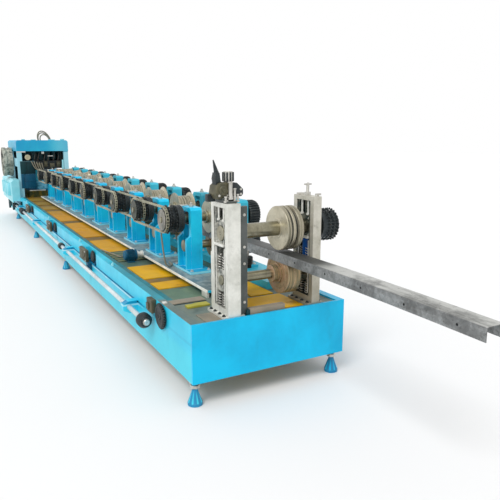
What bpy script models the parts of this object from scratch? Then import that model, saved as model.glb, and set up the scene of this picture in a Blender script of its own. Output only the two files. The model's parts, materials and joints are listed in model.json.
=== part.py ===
"""Roll forming machine for steel C channel: ten blue forming stands and one bright
exit stand on a long box bed, with a punching head at the entry end.

Machine axes while modelling: x = 0 at the exit end plate and negative towards the
entry, y = 0 at the near face of the bed, z = 0 at the floor. The empty "machine"
moves all of it so that the origin lies under the middle of the whole object.
"""

import math

import bmesh
import bpy
from mathutils import Matrix, Vector

for old in list(bpy.data.objects):
    bpy.data.objects.remove(old, do_unlink=True)

# Clearances
SEAT_GAP = 0.0003
RUN_GAP = 0.005
BORE_GAP = 0.0005
OVERLAP = 0.010
MERGE = 0.0001

# Steel strip and the channel that it becomes
STRIP_THICK = 0.0035
WEB_WIDTH = 0.120
FLANGE_HEIGHT = 0.070
WEB_TOP = 0.950
CHANNEL_REACH = 1.560
CHANNEL_DROOP = 0.025
STRIP_SETBACK = 0.250
SHOULDER_WIDTH = 0.010
SHOULDER_RISE = 0.032

# Rails and forming stands, from the bed's near face to its far face
RAIL_FRONT = 0.350
RAIL_DEPTH = 0.290
RAIL_EDGE = 0.005
RAIL_TOP = 0.620
RAIL_PLATE = 0.018
RAIL_LIP = 0.085
RAIL_START = 0.540
RAIL_OVERHANG = 0.450
REAR_MARGIN = 0.040
STAND_COUNT = 10
STAND_FIRST = 1.245
STAND_PITCH = 0.770
HOUSING_SETBACK = 0.135
HOUSING_LENGTH = 0.220
HOUSING_THICK = 0.100
HOUSING_TOP = 1.160
FAR_HOUSING_TOP = 1.200
HOUSING_SHOULDER = 0.022
NEAR_CLEARANCE = 0.035
FAR_CLEARANCE = 0.015
FOOT_PLATE_LENGTH = 0.410
FOOT_PLATE_THICK = 0.020
FOOT_PLATE_MARGIN = 0.050
RIB_DEPTH = 0.042
RIB_WIDTH = 0.030
RIB_TOP = 0.935
RIB_SPREAD = 0.088
WINDOW_LENGTH = 0.120
WINDOW_BOTTOM = 0.720
WINDOW_BRIDGE = 0.036
BLOCK_RECESS = 0.012
BLOCK_HEIGHT = 0.118

ROLL_REACH = WEB_WIDTH / 2 + RUN_GAP + FLANGE_HEIGHT + SHOULDER_WIDTH
NEAR_HOUSING_Y = RAIL_FRONT + HOUSING_SETBACK
STRIP_MIDDLE = NEAR_HOUSING_Y + HOUSING_THICK + NEAR_CLEARANCE + ROLL_REACH
FAR_HOUSING_Y = STRIP_MIDDLE + ROLL_REACH + FAR_CLEARANCE
FAR_RAIL_FRONT = FAR_HOUSING_Y - FOOT_PLATE_MARGIN - RAIL_EDGE

# Bed
BED_WIDTH = FAR_RAIL_FRONT + RAIL_DEPTH + REAR_MARGIN
BED_BOTTOM = 0.173
BED_TOP = 0.573
END_PLATE = 0.016
SIDE_WIDTH = 0.060
GROOVE_Z = 0.430
GROOVE_HEIGHT = 0.012
GROOVE_DEPTH = 0.008
FLUSH_LENGTH = 0.95
DECK_DROP = 0.013
DECK_THICK = 0.014
TRAY_THICK = 0.008

# Yellow cover panels
PANEL_PROUD = 0.006
PANEL_GAP = 0.004
PANEL_LENGTH = 0.500
PANEL_LEAD = 0.055
PANEL_EDGE = 0.120
PANEL_TO_WEB = 0.020
SHORT_PANEL_LENGTH = 0.210
SHORT_PANEL_GAP = 0.095
EXIT_PANEL_START = 0.160
EXIT_PANEL_LENGTH = 0.225
EXIT_PANEL_GAP = 0.012
INNER_PANEL_GAP = 0.035
INNER_PANEL_LENGTH = 0.620

# Levelling feet
FOOT_PLACES = (0.075, 4.50, 7.30, 10.10)
FOOT_INSET = 0.045
FOOT_RADIUS = 0.050
FOOT_NECK = 0.017
FOOT_RIM = 0.022
FOOT_CONE_TOP = 0.110

# Gear pockets in the near side of the bed: distance from the exit end and length
POCKETS = ((2.50, 0.46), (4.75, 0.60), (7.05, 0.75))
POCKET_WALL = 0.020

# Line shaft along the near side
LINE_SHAFT_RADIUS = 0.020
LINE_SHAFT_Y = -0.070
LINE_SHAFT_Z = 0.400
LINE_SHAFT_START = 0.70
LINE_BEARING_PLACES = (1.15, 3.70, 6.40, 8.60)
BEARING_WIDTH = 0.070
BEARING_HEIGHT = 0.100
LINE_PINION_RADIUS = 0.060
LINE_PINION_LENGTH = 0.090
LINE_PINION_BEVEL = 0.025
LINE_STUB_LENGTH = 0.022
FIRST_CROSS_PLACE = 0.530
FIRST_CROSS_RADIUS = 0.090
FIRST_CROSS_AXIS = 0.485
FIRST_CROSS_Y = -0.031
POCKET_CROSS_RADIUS = 0.062
POCKET_CROSS_AXIS = 0.502
POCKET_CROSS_Y = 0.006
CROSS_GEAR_WIDTH = 0.025
CROSS_PIN_RADIUS = 0.018
CROSS_PIN_REACH = 0.085

# Roll shafts of the forming stands
TOP_AXIS = 1.065
BOTTOM_AXIS = 0.830
SHAFT_RADIUS = 0.035
STUB_LENGTH = 0.015
STUB_RADIUS = 0.025
SPROCKET_GAP = 0.050
SPROCKET_LENGTH = 0.165
SPROCKET_ROWS = 0.110
SPROCKET_RADIUS = 0.115
SPROCKET_ROOT = 0.094
CHAIN_THICK = 0.017
CHAIN_WIDTH = 0.028
CHAIN_STEPS = 6
GEAR_GAP = 0.025
GEAR_WIDTH = 0.100
LOWER_RING_RADIUS = 0.050
LOWER_RING_WIDTH = 0.024
LOWER_RING_GAP = 0.006

# Exit stand
EXIT_LENGTH = 0.245
EXIT_START = 0.020
EXIT_NEAR_Y = 0.268
EXIT_NEAR_THICK = 0.092
EXIT_FAR_THICK = 0.066
EXIT_NEAR_TOP = 1.315
EXIT_FAR_TOP = 1.330
EXIT_WINDOW = 0.165
EXIT_SILL = 0.060
EXIT_HEAD = 0.030
EXIT_GUIDE = 0.014
EXIT_GUIDE_SLOT = 0.009
EXIT_BLOCK_RECESS = 0.012
EXIT_TOP_BLOCK = 0.170
EXIT_BOTTOM_BLOCK = 0.150
EXIT_TOP_AXIS = 1.115
EXIT_BOTTOM_AXIS = 0.800
EXIT_TOP_SHAFT = 0.050
EXIT_BOTTOM_SHAFT = 0.0335
EXIT_SHAFT_SETBACK = 0.004
EXIT_SPROCKET_RADIUS = 0.110
EXIT_SPROCKET_ROOT = 0.097
EXIT_SPROCKET_GAP = 0.040
EXIT_SPROCKET_LENGTH = 0.140
EXIT_TOOTH_ROWS = 3
EXIT_TOOTH_COUNT = 12
EXIT_TOOTH_WIDTH = 0.016
EXIT_ROLL_RADIUS = 0.153
EXIT_ROLL_WIDTH = 0.125
EXIT_GROOVE_PLACE = 0.075
EXIT_GROOVE_WIDTH = 0.014
EXIT_GROOVE_DEPTH = 0.015
EXIT_COLLAR_RADIUS = 0.060
EXIT_COLLAR_WIDTH = 0.045
EXIT_SHAFT_TAIL = 0.030
EXIT_BASE_THICK = 0.018
EXIT_BASE_MARGIN = 0.030
EXIT_BASE_TAIL = 0.015
SIDE_BRACKET_LENGTH = 0.075
SIDE_BRACKET_THICK = 0.036
SIDE_BRACKET_TOP = 0.960
SIDE_BRACKET_SLOT = 0.022
SPACER_RADIUS = 0.026

# Screw-down gear on the exit stand
GEARBOX_LENGTH = 0.110
GEARBOX_HEIGHT = 0.090
GEARBOX_NEAR = 0.090
GEARBOX_FAR = 0.105
SADDLE_HEIGHT = 0.035
KNOB_RADIUS = 0.036
KNOB_HEIGHT = 0.075
KNOB_OFFSET = 0.020
LEVER_POST = 0.040
LEVER_LENGTH = 0.095
LEVER_BASE = 0.018
LEVER_TIP = 0.004
LEVER_LEAN = 15
SCREW_RADIUS = 0.022
SCREW_COLLAR = 0.025
STEM_RADIUS = 0.010
STEM_HEIGHT = 0.090
CROSS_BAR_REACH = 0.030
CROSS_BAR_RADIUS = 0.006

# Side roller that steadies the channel before the exit stand
GUIDE_PLACE = 0.480
GUIDE_RADIUS = 0.045
GUIDE_BOTTOM = 0.800
GUIDE_HEIGHT = 0.060
GUIDE_BOLT_RADIUS = 0.018
GUIDE_BOLT_TOP = 0.905
GUIDE_POST = 0.060
GUIDE_ARM_THICK = 0.030

# Small motor that shifts the near row, on the deck beside the rail
MOTOR_PLACE = 2.035
MOTOR_AXIS = 0.628
MOTOR_RADIUS = 0.054
MOTOR_LENGTH = 0.120
MOTOR_CAP = 0.018
MOTOR_FOOT = 0.030
COUPLING_RADIUS = 0.034
COUPLING_LENGTH = 0.070

# Punching head
HEAD_GAP = 0.375
HEAD_LENGTH = 1.60
HEAD_TAIL = 0.600
HEAD_REAR_SETBACK = 0.190
HEAD_BEAM_BOTTOM = 1.510
HEAD_BEAM_TOP = 1.730
BEAM_CHAMFER = 0.030
COLUMN_SIDE = 0.090
COLUMN_INSET = 0.005
GUARD_REACH = 0.330
GUARD_THICK = 0.050
GUARD_BOTTOM = 0.760
GUARD_TOP = 1.310
RAM_BOTTOM = 1.150
RAM_HEIGHT = 0.160
RAM_NEAR = 0.300
RAM_REAR_SETBACK = 0.220
RAM_GAP = 0.060
RAM_POST_RADIUS = 0.035
RAM_POST_INSET = 0.080
PUNCH_RADIUS = 0.045
PUNCH_BOTTOM = 0.970
BOLSTER_TOP = 0.900
BOLSTER_GAP = 0.020
BOLSTER_NEAR = 0.200
BOLSTER_REAR_SETBACK = 0.200
BOLSTER_STEP = 0.120
BOLSTER_STEP_HEIGHT = 0.110
SIDE_BOX_LEAD = 0.050
SIDE_BOX_LENGTH = 2.00
SIDE_BOX_DEPTH = 0.150
SIDE_BOX_BOTTOM = 0.480
SIDE_BOX_TOP = 0.940
SIDE_BOX_CHAMFER = 0.050
SIDE_BOX_SHAFT_GAP = 0.040
SIDE_BOX_RELIEF = 0.030
WHEEL_RADIUS = 0.300
WHEEL_RIM = 0.040
WHEEL_HUB = 0.070
WHEEL_WEB = 0.022
WHEEL_AXIS_Z = 1.280
WHEEL_WIDTH = 0.190
WHEEL_FACE_Y = -0.210
WHEEL_INSET = 0.040
WHEEL_HOLES = 5
WHEEL_HOLE_RADIUS = 0.062
CARRIER_HEIGHT = 0.160
CARRIER_DEPTH = 0.060
HOSE_RADIUS = 0.018
HOSE_TOP = 1.940
HOSE_MIDDLE = 0.580
HOSE_REACH = 0.140
HOSE_PLACE = 0.450
HOSE_STRAIGHT = 0.040

# Places that follow from the sizes above
HEAD_START = STAND_FIRST + STAND_PITCH * (STAND_COUNT - 1) + RAIL_OVERHANG + HEAD_GAP
LINE_SHAFT_END = HEAD_START + HEAD_LENGTH
BED_LENGTH = LINE_SHAFT_END + HEAD_TAIL
STRIP_ENTRY = BED_LENGTH - STRIP_SETBACK
DECK_TOP = BED_TOP - DECK_DROP
TRAY_TOP = DECK_TOP - DECK_THICK - SEAT_GAP
SPROCKET_NEAR = NEAR_HOUSING_Y - SPROCKET_GAP - SPROCKET_LENGTH
GEAR_NEAR = FAR_HOUSING_Y + HOUSING_THICK + GEAR_GAP
GEAR_RADIUS = (TOP_AXIS - BOTTOM_AXIS) / 2 - RUN_GAP / 2
EXIT_X = -(EXIT_START + EXIT_LENGTH / 2)
EXIT_FAR_Y = FAR_HOUSING_Y
EXIT_SPROCKET_NEAR = EXIT_FAR_Y + EXIT_FAR_THICK + EXIT_SPROCKET_GAP
HEAD_WIDTH = BED_WIDTH - HEAD_REAR_SETBACK
COLUMN_NEAR = COLUMN_INSET

# The whole object's box, from which the origin follows
MOST_X = CHANNEL_REACH
LEAST_X = -BED_LENGTH
LEAST_Y = min(WHEEL_FACE_Y, -SIDE_BOX_DEPTH)
MOST_Y = max(BED_WIDTH - FOOT_INSET + FOOT_RADIUS, GEAR_NEAR + GEAR_WIDTH)
FACETS = 8
BORE_FACETS = 8
ROUND_FACETS = 12
HOSE_STEPS = 10


def collection(name):
    made = bpy.data.collections.new(name)
    bpy.context.scene.collection.children.link(made)
    return made


PARTS = collection("roll_forming_machine")
CUTTERS = collection("cutters")
MACHINE = bpy.data.objects.new("machine", None)
MACHINE.location = (-(MOST_X + LEAST_X) / 2, -(MOST_Y + LEAST_Y) / 2, 0)
PARTS.objects.link(MACHINE)


def paint(name, colour, roughness, metallic=0.0):
    made = bpy.data.materials.new(name)
    made.use_nodes = True
    shader = made.node_tree.nodes["Principled BSDF"]
    shader.inputs["Base Color"].default_value = (*colour, 1)
    shader.inputs["Roughness"].default_value = roughness
    shader.inputs["Metallic"].default_value = metallic
    return made


CYAN = ((0.01, 0.45, 0.74), 0.35, 0.0)
MOTOR_BLUE = ((0.01, 0.10, 0.28), 0.35, 0.0)
YELLOW = ((0.62, 0.36, 0.01), 0.5, 0.0)
DECK_GREEN = ((0.11, 0.15, 0.12), 0.6, 0.2)
SILVER = ((0.62, 0.60, 0.55), 0.4, 0.6)
STEEL = ((0.50, 0.49, 0.44), 0.3, 0.9)
DARK = ((0.03, 0.035, 0.035), 0.5, 0.5)
GALVANISED = ((0.36, 0.37, 0.37), 0.45, 0.7)


def raw(name, shape):
    """A bare object from a bmesh."""
    bmesh.ops.recalc_face_normals(shape, faces=shape.faces)
    mesh = bpy.data.meshes.new(name)
    shape.to_mesh(mesh)
    shape.free()
    return bpy.data.objects.new(name, mesh)


def box(low, high):
    shape = bmesh.new()
    bmesh.ops.create_cube(shape, size=1)
    low, high = Vector(low), Vector(high)
    size = high - low
    bmesh.ops.scale(shape, vec=size, verts=shape.verts)
    bmesh.ops.translate(shape, vec=(low + high) / 2, verts=shape.verts)
    return raw("box", shape)


def turned(profile, axis, place, facets=FACETS):
    """A turned solid: profile rows are (distance along the axis, radius). One corner of
    each ring points straight up where the axis lies flat."""
    mesh = bpy.data.meshes.new("profile")
    points = [(0, radius, along) if axis == "Y" else (radius, 0, along) for along, radius in profile]
    mesh.from_pydata(points, [(row, row + 1) for row in range(len(points) - 1)], [])
    line = bpy.data.objects.new("profile", mesh)
    CUTTERS.objects.link(line)
    spin = line.modifiers.new("spin", "SCREW")
    spin.axis = "Z"
    spin.steps = spin.render_steps = facets
    spin.use_merge_vertices = True
    spin.merge_threshold = MERGE
    shape = bmesh.new()
    shape.from_object(line, bpy.context.evaluated_depsgraph_get())
    bpy.data.objects.remove(line, do_unlink=True)
    ends = [edge for edge in shape.edges if edge.is_boundary]
    bmesh.ops.holes_fill(shape, edges=ends, sides=facets)
    turn_to = {
        "X": Matrix.Rotation(math.pi / 2, 4, "Y"),
        "Y": Matrix.Rotation(-math.pi / 2, 4, "X"),
        "Z": Matrix.Identity(4),
    }[axis]
    bmesh.ops.transform(shape, matrix=Matrix.Translation(place) @ turn_to, verts=shape.verts)
    return raw("turned", shape)


def prism(outline, axis, start, end):
    """An outline pushed along an axis: X takes (y, z) points, Y takes (x, z), Z takes (x, y)."""
    shape = bmesh.new()
    place = {
        "X": lambda a, b, t: (t, a, b),
        "Y": lambda a, b, t: (a, t, b),
        "Z": lambda a, b, t: (a, b, t),
    }[axis]
    base = [shape.verts.new(place(a, b, start)) for a, b in outline]
    face = shape.faces.new(base)
    pushed = bmesh.ops.extrude_face_region(shape, geom=[face])
    moved = [item for item in pushed["geom"] if isinstance(item, bmesh.types.BMVert)]
    bmesh.ops.translate(
        shape, vec=Vector(place(0, 0, end)) - Vector(place(0, 0, start)), verts=moved
    )
    return raw("prism", shape)


def bore_tool(axis, start, end, radius, place):
    """A cutter for a running bore, whose flats stay outside the shaft and its gap. The
    middle of a flat lies straight above and below the shaft, where the shaft has corners."""
    wide = (radius + BORE_GAP) / math.cos(math.pi / BORE_FACETS)
    tool = turned(((start, wide), (end, wide)), axis, (0, 0, 0), BORE_FACETS)
    spin = Matrix.Rotation(math.pi / BORE_FACETS, 4, axis)
    tool.data.transform(Matrix.Translation(place) @ spin)
    return tool


def carve(base, pieces, operation):
    """The base joined with the pieces, or cut by them, as one plain mesh."""
    holder = bpy.data.collections.new("holder")
    CUTTERS.children.link(holder)
    CUTTERS.objects.link(base)
    for piece in pieces:
        holder.objects.link(piece)
        piece.hide_render = True
        piece.display_type = "WIRE"
    step = base.modifiers.new(operation.lower(), "BOOLEAN")
    step.operation = operation
    step.solver = "EXACT"
    step.operand_type = "COLLECTION"
    step.collection = holder
    graph = bpy.context.evaluated_depsgraph_get()
    mesh = bpy.data.meshes.new_from_object(base.evaluated_get(graph))
    result = bpy.data.objects.new("carved", mesh)
    for piece in [*pieces, base]:
        bpy.data.objects.remove(piece, do_unlink=True)
    bpy.data.collections.remove(holder)
    return result


def joined(pieces):
    return carve(pieces[0], pieces[1:], "UNION")


def cut(base, cutters):
    return carve(base, cutters, "DIFFERENCE")


def keep(piece, name, finish, pivot=None):
    """Names a finished piece, paints it and hangs it on the machine, with its origin on its pivot."""
    piece.name = name
    piece.data.name = name
    piece.data.materials.clear()
    piece.data.materials.append(paint(name, *finish))
    if pivot is not None:
        piece.data.transform(Matrix.Translation(-Vector(pivot)))
        piece.location = pivot
    piece.parent = MACHINE
    PARTS.objects.link(piece)
    return piece


def foot(x, y):
    rows = (
        (0.0, FOOT_RADIUS),
        (FOOT_RIM, FOOT_RADIUS),
        (FOOT_CONE_TOP, FOOT_NECK + SEAT_GAP),
        (BED_BOTTOM + OVERLAP, FOOT_NECK),
    )
    return turned(rows, "Z", (x, y, 0), BORE_FACETS)


def line_bearing(x):
    """A bearing block on the near side with the line shaft's bore."""
    half = BEARING_WIDTH / 2
    low = LINE_SHAFT_Z - BEARING_HEIGHT / 2
    high = LINE_SHAFT_Z + BEARING_HEIGHT / 2
    front = LINE_SHAFT_Y - BEARING_HEIGHT / 2
    outline = (
        (OVERLAP, low),
        (OVERLAP, high),
        (LINE_SHAFT_Y, high),
        (front, high - BEARING_HEIGHT / 4),
        (front, low + BEARING_HEIGHT / 4),
        (LINE_SHAFT_Y, low),
    )
    return prism(outline, "X", x - half, x + half)


def cross_places():
    """Each cross screw's gear: (x, z, nearest y, radius)."""
    places = [(-FIRST_CROSS_PLACE, FIRST_CROSS_AXIS, FIRST_CROSS_Y, FIRST_CROSS_RADIUS)]
    for start, length in POCKETS:
        places.append((-start - length / 2, POCKET_CROSS_AXIS, POCKET_CROSS_Y, POCKET_CROSS_RADIUS))
    return places


def side_beam(near):
    """One long side of the bed with its levelling feet."""
    low_y = 0 if near else BED_WIDTH - SIDE_WIDTH
    entry = -BED_LENGTH + END_PLATE + SEAT_GAP
    leave = -END_PLATE - SEAT_GAP
    base = box((entry, low_y, BED_BOTTOM), (leave, low_y + SIDE_WIDTH, BED_TOP))
    foot_y = FOOT_INSET if near else BED_WIDTH - FOOT_INSET
    pieces = [foot(-x, foot_y) for x in FOOT_PLACES]
    groove_y = low_y if near else low_y + SIDE_WIDTH
    cutters = [box(
        (-BED_LENGTH - OVERLAP, groove_y - GROOVE_DEPTH, GROOVE_Z),
        (-FLUSH_LENGTH, groove_y + GROOVE_DEPTH, GROOVE_Z + GROOVE_HEIGHT),
    )]
    if near:
        for start, length in POCKETS:
            cutters.append(box(
                (-start - length, -OVERLAP, GROOVE_Z),
                (-start, SIDE_WIDTH - POCKET_WALL, BED_TOP + OVERLAP),
            ))
        cutters.append(bore_tool(
            "X", -LINE_SHAFT_END, 0, LINE_SHAFT_RADIUS, (0, LINE_SHAFT_Y, LINE_SHAFT_Z)
        ))
        for x, z, _, _ in cross_places():
            cutters.append(bore_tool(
                "Y", -OVERLAP, SIDE_WIDTH + OVERLAP, CROSS_PIN_RADIUS, (x, 0, z)
            ))
        pieces += [line_bearing(-x) for x in LINE_BEARING_PLACES]
    return cut(joined([base, *pieces]), cutters)


def end_plate(x):
    return box((x, 0, BED_BOTTOM), (x + END_PLATE, BED_WIDTH, BED_TOP))


def panel_places():
    """Yellow cover panels as (x low, x high, y low, y high)."""
    exit_near = EXIT_NEAR_Y + EXIT_NEAR_THICK + EXIT_BASE_MARGIN + EXIT_PANEL_GAP
    exit_far = EXIT_FAR_Y - EXIT_BASE_MARGIN - EXIT_PANEL_GAP
    near_edge = RAIL_FRONT + RAIL_LIP - PANEL_TO_WEB
    exit_end = -EXIT_PANEL_START - EXIT_PANEL_LENGTH
    inner_end = exit_end - INNER_PANEL_GAP
    short_end = -STAND_FIRST + SHORT_PANEL_GAP
    places = [
        (exit_end, -EXIT_PANEL_START, exit_near, exit_far),
        (inner_end - INNER_PANEL_LENGTH, inner_end,
         RAIL_FRONT + RAIL_DEPTH + PANEL_TO_WEB, FAR_RAIL_FRONT - PANEL_TO_WEB),
        (short_end, short_end + SHORT_PANEL_LENGTH, PANEL_EDGE, near_edge),
    ]
    for number in range(STAND_COUNT):
        start = stand_x(number) - PANEL_LEAD
        places.append((start - PANEL_LENGTH, start, PANEL_EDGE, near_edge))
    return places


def deck_area():
    side = SIDE_WIDTH + SEAT_GAP
    end = END_PLATE + SEAT_GAP
    return -BED_LENGTH + end, -end, side, BED_WIDTH - side


def deck():
    x0, x1, y0, y1 = deck_area()
    base = box((x0, y0, DECK_TOP - DECK_THICK), (x1, y1, DECK_TOP))
    cutters = [
        box((a - PANEL_GAP, c - PANEL_GAP, BED_BOTTOM), (b + PANEL_GAP, d + PANEL_GAP, RAIL_TOP))
        for a, b, c, d in panel_places()
    ]
    return cut(base, cutters)


def tray():
    """The sheet under the deck with the yellow panels that stand up through it."""
    x0, x1, y0, y1 = deck_area()
    base = box((x0, y0, TRAY_TOP - TRAY_THICK), (x1, y1, TRAY_TOP))
    panels = [
        box((a, c, TRAY_TOP - TRAY_THICK / 2), (b, d, DECK_TOP + PANEL_PROUD))
        for a, b, c, d in panel_places()
    ]
    return joined([base, *panels])


def stand_x(number):
    return -(STAND_FIRST + STAND_PITCH * number)


def rail(start, end, front, outward):
    """A length of rail under one row, whose top plate overhangs its web on the outer side."""
    lip = front if outward < 0 else front + RAIL_DEPTH
    web = lip - outward * RAIL_LIP
    back = front + RAIL_DEPTH if outward < 0 else front
    base = DECK_TOP + SEAT_GAP
    under = RAIL_TOP - RAIL_PLATE
    outline = ((lip, under), (lip, RAIL_TOP), (back, RAIL_TOP), (back, base), (web, base), (web, under))
    return prism(outline, "X", end, start)


def housing(x, y, outward):
    """One forming stand's side housing with its window, bearing blocks and ribs.
    outward is -1 on the near row and +1 on the far row."""
    half = HOUSING_LENGTH / 2
    base = RAIL_TOP - OVERLAP
    top = HOUSING_TOP if outward < 0 else FAR_HOUSING_TOP
    shoulder = top - HOUSING_SHOULDER
    frame = prism(
        ((x - half, base), (x - half, shoulder), (x - half + HOUSING_SHOULDER, top),
         (x + half - HOUSING_SHOULDER, top), (x + half, shoulder), (x + half, base)),
        "Y", y, y + HOUSING_THICK,
    )
    window = box(
        (x - WINDOW_LENGTH / 2, y - OVERLAP, WINDOW_BOTTOM),
        (x + WINDOW_LENGTH / 2, y + HOUSING_THICK + OVERLAP, top - WINDOW_BRIDGE),
    )
    plate = box(
        (x - FOOT_PLATE_LENGTH / 2, y - FOOT_PLATE_MARGIN, base),
        (x + FOOT_PLATE_LENGTH / 2, y + HOUSING_THICK + FOOT_PLATE_MARGIN, RAIL_TOP + FOOT_PLATE_THICK),
    )
    blocks = [
        box(
            (x - half + OVERLAP, y + BLOCK_RECESS, z - BLOCK_HEIGHT / 2),
            (x + half - OVERLAP, y + HOUSING_THICK - BLOCK_RECESS, z + BLOCK_HEIGHT / 2),
        )
        for z in (TOP_AXIS, BOTTOM_AXIS)
    ]
    pieces = [cut(frame, [window]), plate, *blocks]
    if outward < 0:
        outline = (
            (y + OVERLAP, RAIL_TOP),
            (y - RIB_DEPTH, RAIL_TOP),
            (y - RIB_DEPTH, RIB_TOP - RIB_DEPTH),
            (y + OVERLAP, RIB_TOP),
        )
        for middle in (x - RIB_SPREAD, x + RIB_SPREAD):
            pieces.append(prism(outline, "X", middle - RIB_WIDTH / 2, middle + RIB_WIDTH / 2))
    return pieces


def stand_row(first, last, y, outward):
    """Several housings on their length of rail, with the shafts' bores."""
    front = RAIL_FRONT if outward < 0 else FAR_RAIL_FRONT
    start = -RAIL_START if first == 0 else stand_x(first) + STAND_PITCH / 2 - SEAT_GAP
    end = stand_x(last) - (RAIL_OVERHANG if last == STAND_COUNT - 1 else STAND_PITCH / 2)
    pieces = [rail(start, end, front, outward)]
    for number in range(first, last + 1):
        pieces += housing(stand_x(number), y, outward)
    bores = [
        bore_tool("Y", y, y + HOUSING_THICK, SHAFT_RADIUS, (stand_x(n), 0, z))
        for n in range(first, last + 1)
        for z in (TOP_AXIS, BOTTOM_AXIS)
    ]
    return cut(joined(pieces), bores)


def bend_angle(number):
    """How far the flanges are bent down at a stand, in radians."""
    return math.radians(90) * (STAND_COUNT - number) / (STAND_COUNT + 1)


def top_shaft(number):
    """Upper shaft: sprocket drum, shaft, female roll and gear in one turned piece. The
    roll's shoulders follow the slope that the flanges have at this stand."""
    angle = bend_angle(number)
    rise = min(FLANGE_HEIGHT * math.sin(angle), SHOULDER_RISE)
    web_radius = TOP_AXIS - WEB_TOP - RUN_GAP
    half = WEB_WIDTH / 2 + RUN_GAP
    reach = half + max(rise / math.tan(angle), STRIP_THICK)
    drum_end = SPROCKET_NEAR + SPROCKET_LENGTH
    rows = [
        (SPROCKET_NEAR - STUB_LENGTH, STUB_RADIUS),
        (SPROCKET_NEAR, STUB_RADIUS),
        (SPROCKET_NEAR, SPROCKET_ROOT),
        (SPROCKET_NEAR + SPROCKET_ROWS, SPROCKET_ROOT),
        (SPROCKET_NEAR + SPROCKET_ROWS, SPROCKET_RADIUS),
        (drum_end, SPROCKET_RADIUS),
        (drum_end, SHAFT_RADIUS),
        (STRIP_MIDDLE - reach - SHOULDER_WIDTH, SHAFT_RADIUS),
        (STRIP_MIDDLE - reach - SHOULDER_WIDTH, web_radius + rise),
        (STRIP_MIDDLE - reach, web_radius + rise),
        (STRIP_MIDDLE - half, web_radius),
        (STRIP_MIDDLE + half, web_radius),
        (STRIP_MIDDLE + reach, web_radius + rise),
        (STRIP_MIDDLE + reach + SHOULDER_WIDTH, web_radius + rise),
        (STRIP_MIDDLE + reach + SHOULDER_WIDTH, SHAFT_RADIUS),
        (GEAR_NEAR, SHAFT_RADIUS),
        (GEAR_NEAR, GEAR_RADIUS),
        (GEAR_NEAR + GEAR_WIDTH, GEAR_RADIUS),
    ]
    return turned(rows, "Y", (stand_x(number), 0, TOP_AXIS))


def bottom_shaft(number):
    """Lower shaft: collar, male roll that carries the strip, and the meshing gear."""
    angle = bend_angle(number)
    web_radius = WEB_TOP - STRIP_THICK - SEAT_GAP - BOTTOM_AXIS
    half = WEB_WIDTH / 2 - STRIP_THICK - RUN_GAP
    drop = FLANGE_HEIGHT * math.sin(angle)
    run = FLANGE_HEIGHT * math.cos(angle)
    edge = max(web_radius - drop - RUN_GAP, SHAFT_RADIUS + RUN_GAP)
    reach = half + max(run, SEAT_GAP)
    collar = NEAR_HOUSING_Y - LOWER_RING_GAP
    rows = [
        (collar - LOWER_RING_WIDTH, LOWER_RING_RADIUS),
        (collar, LOWER_RING_RADIUS),
        (collar, SHAFT_RADIUS),
        (STRIP_MIDDLE - reach, SHAFT_RADIUS),
        (STRIP_MIDDLE - reach, edge),
        (STRIP_MIDDLE - half, web_radius),
        (STRIP_MIDDLE + half, web_radius),
        (STRIP_MIDDLE + reach, edge),
        (STRIP_MIDDLE + reach, SHAFT_RADIUS),
        (GEAR_NEAR, SHAFT_RADIUS),
        (GEAR_NEAR, GEAR_RADIUS),
        (GEAR_NEAR + GEAR_WIDTH, GEAR_RADIUS),
    ]
    return turned(rows, "Y", (stand_x(number), 0, BOTTOM_AXIS))


def racetrack(start, end, radius):
    """The outline of a loop about two wheels at the height of the upper shafts."""
    outline = []
    for centre, first in ((start, -math.pi / 2), (end, math.pi / 2)):
        for step in range(CHAIN_STEPS + 1):
            angle = first + math.pi * step / CHAIN_STEPS
            outline.append((centre + radius * math.cos(angle), TOP_AXIS + radius * math.sin(angle)))
    return outline


def chain(number):
    """The chain loop between stand number and the next: its row lies flush with the near
    end of the drums, or one row further in."""
    inner = (SPROCKET_ROOT + BORE_GAP) / math.cos(math.pi / (2 * CHAIN_STEPS))
    near = SPROCKET_NEAR + number % 2 * SPROCKET_ROWS / 2
    ends = stand_x(number), stand_x(number + 1)
    loop = prism(racetrack(*ends, inner + CHAIN_THICK), "Y", near, near + CHAIN_WIDTH)
    hole = prism(racetrack(*ends, inner), "Y", near - OVERLAP, near + CHAIN_WIDTH + OVERLAP)
    return cut(loop, [hole])


def strip_section(x, angle, lower=0.0):
    """Eight points of the bent strip's outline at x: outer side, then inner side back."""
    half = WEB_WIDTH / 2
    down = Vector((math.cos(angle), -math.sin(angle)))
    inward = Vector((-math.sin(angle), -math.cos(angle))) * STRIP_THICK
    inner_corner = Vector((half - STRIP_THICK * math.tan(angle / 2), -STRIP_THICK))
    right = [
        Vector((half, 0)),
        Vector((half, 0)) + down * FLANGE_HEIGHT,
        Vector((half, 0)) + down * FLANGE_HEIGHT + inward,
        inner_corner,
    ]
    left = [Vector((-point.x, point.y)) for point in reversed(right)]
    return [(x, STRIP_MIDDLE + p.x, WEB_TOP - lower + p.y) for p in right + left]


def channel():
    """The strip from flat at the entry to a finished channel, whose free end droops."""
    stations = [(-STRIP_ENTRY, 0.0, 0.0)]
    stations += [(stand_x(n), bend_angle(n), 0.0) for n in reversed(range(STAND_COUNT))]
    stations.append((EXIT_X, math.pi / 2, 0.0))
    free = CHANNEL_REACH - EXIT_X
    for share in (1 / 3, 2 / 3, 1):
        stations.append((EXIT_X + free * share, math.pi / 2, CHANNEL_DROOP * share ** 2))
    shape = bmesh.new()
    rings = [[shape.verts.new(p) for p in strip_section(*station)] for station in stations]
    for this, after in zip(rings, rings[1:]):
        for corner in range(8):
            other = (corner + 1) % 8
            shape.faces.new((this[corner], this[other], after[other], after[corner]))
    shape.faces.new(rings[0])
    shape.faces.new(rings[-1])
    return raw("channel", shape)


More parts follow.
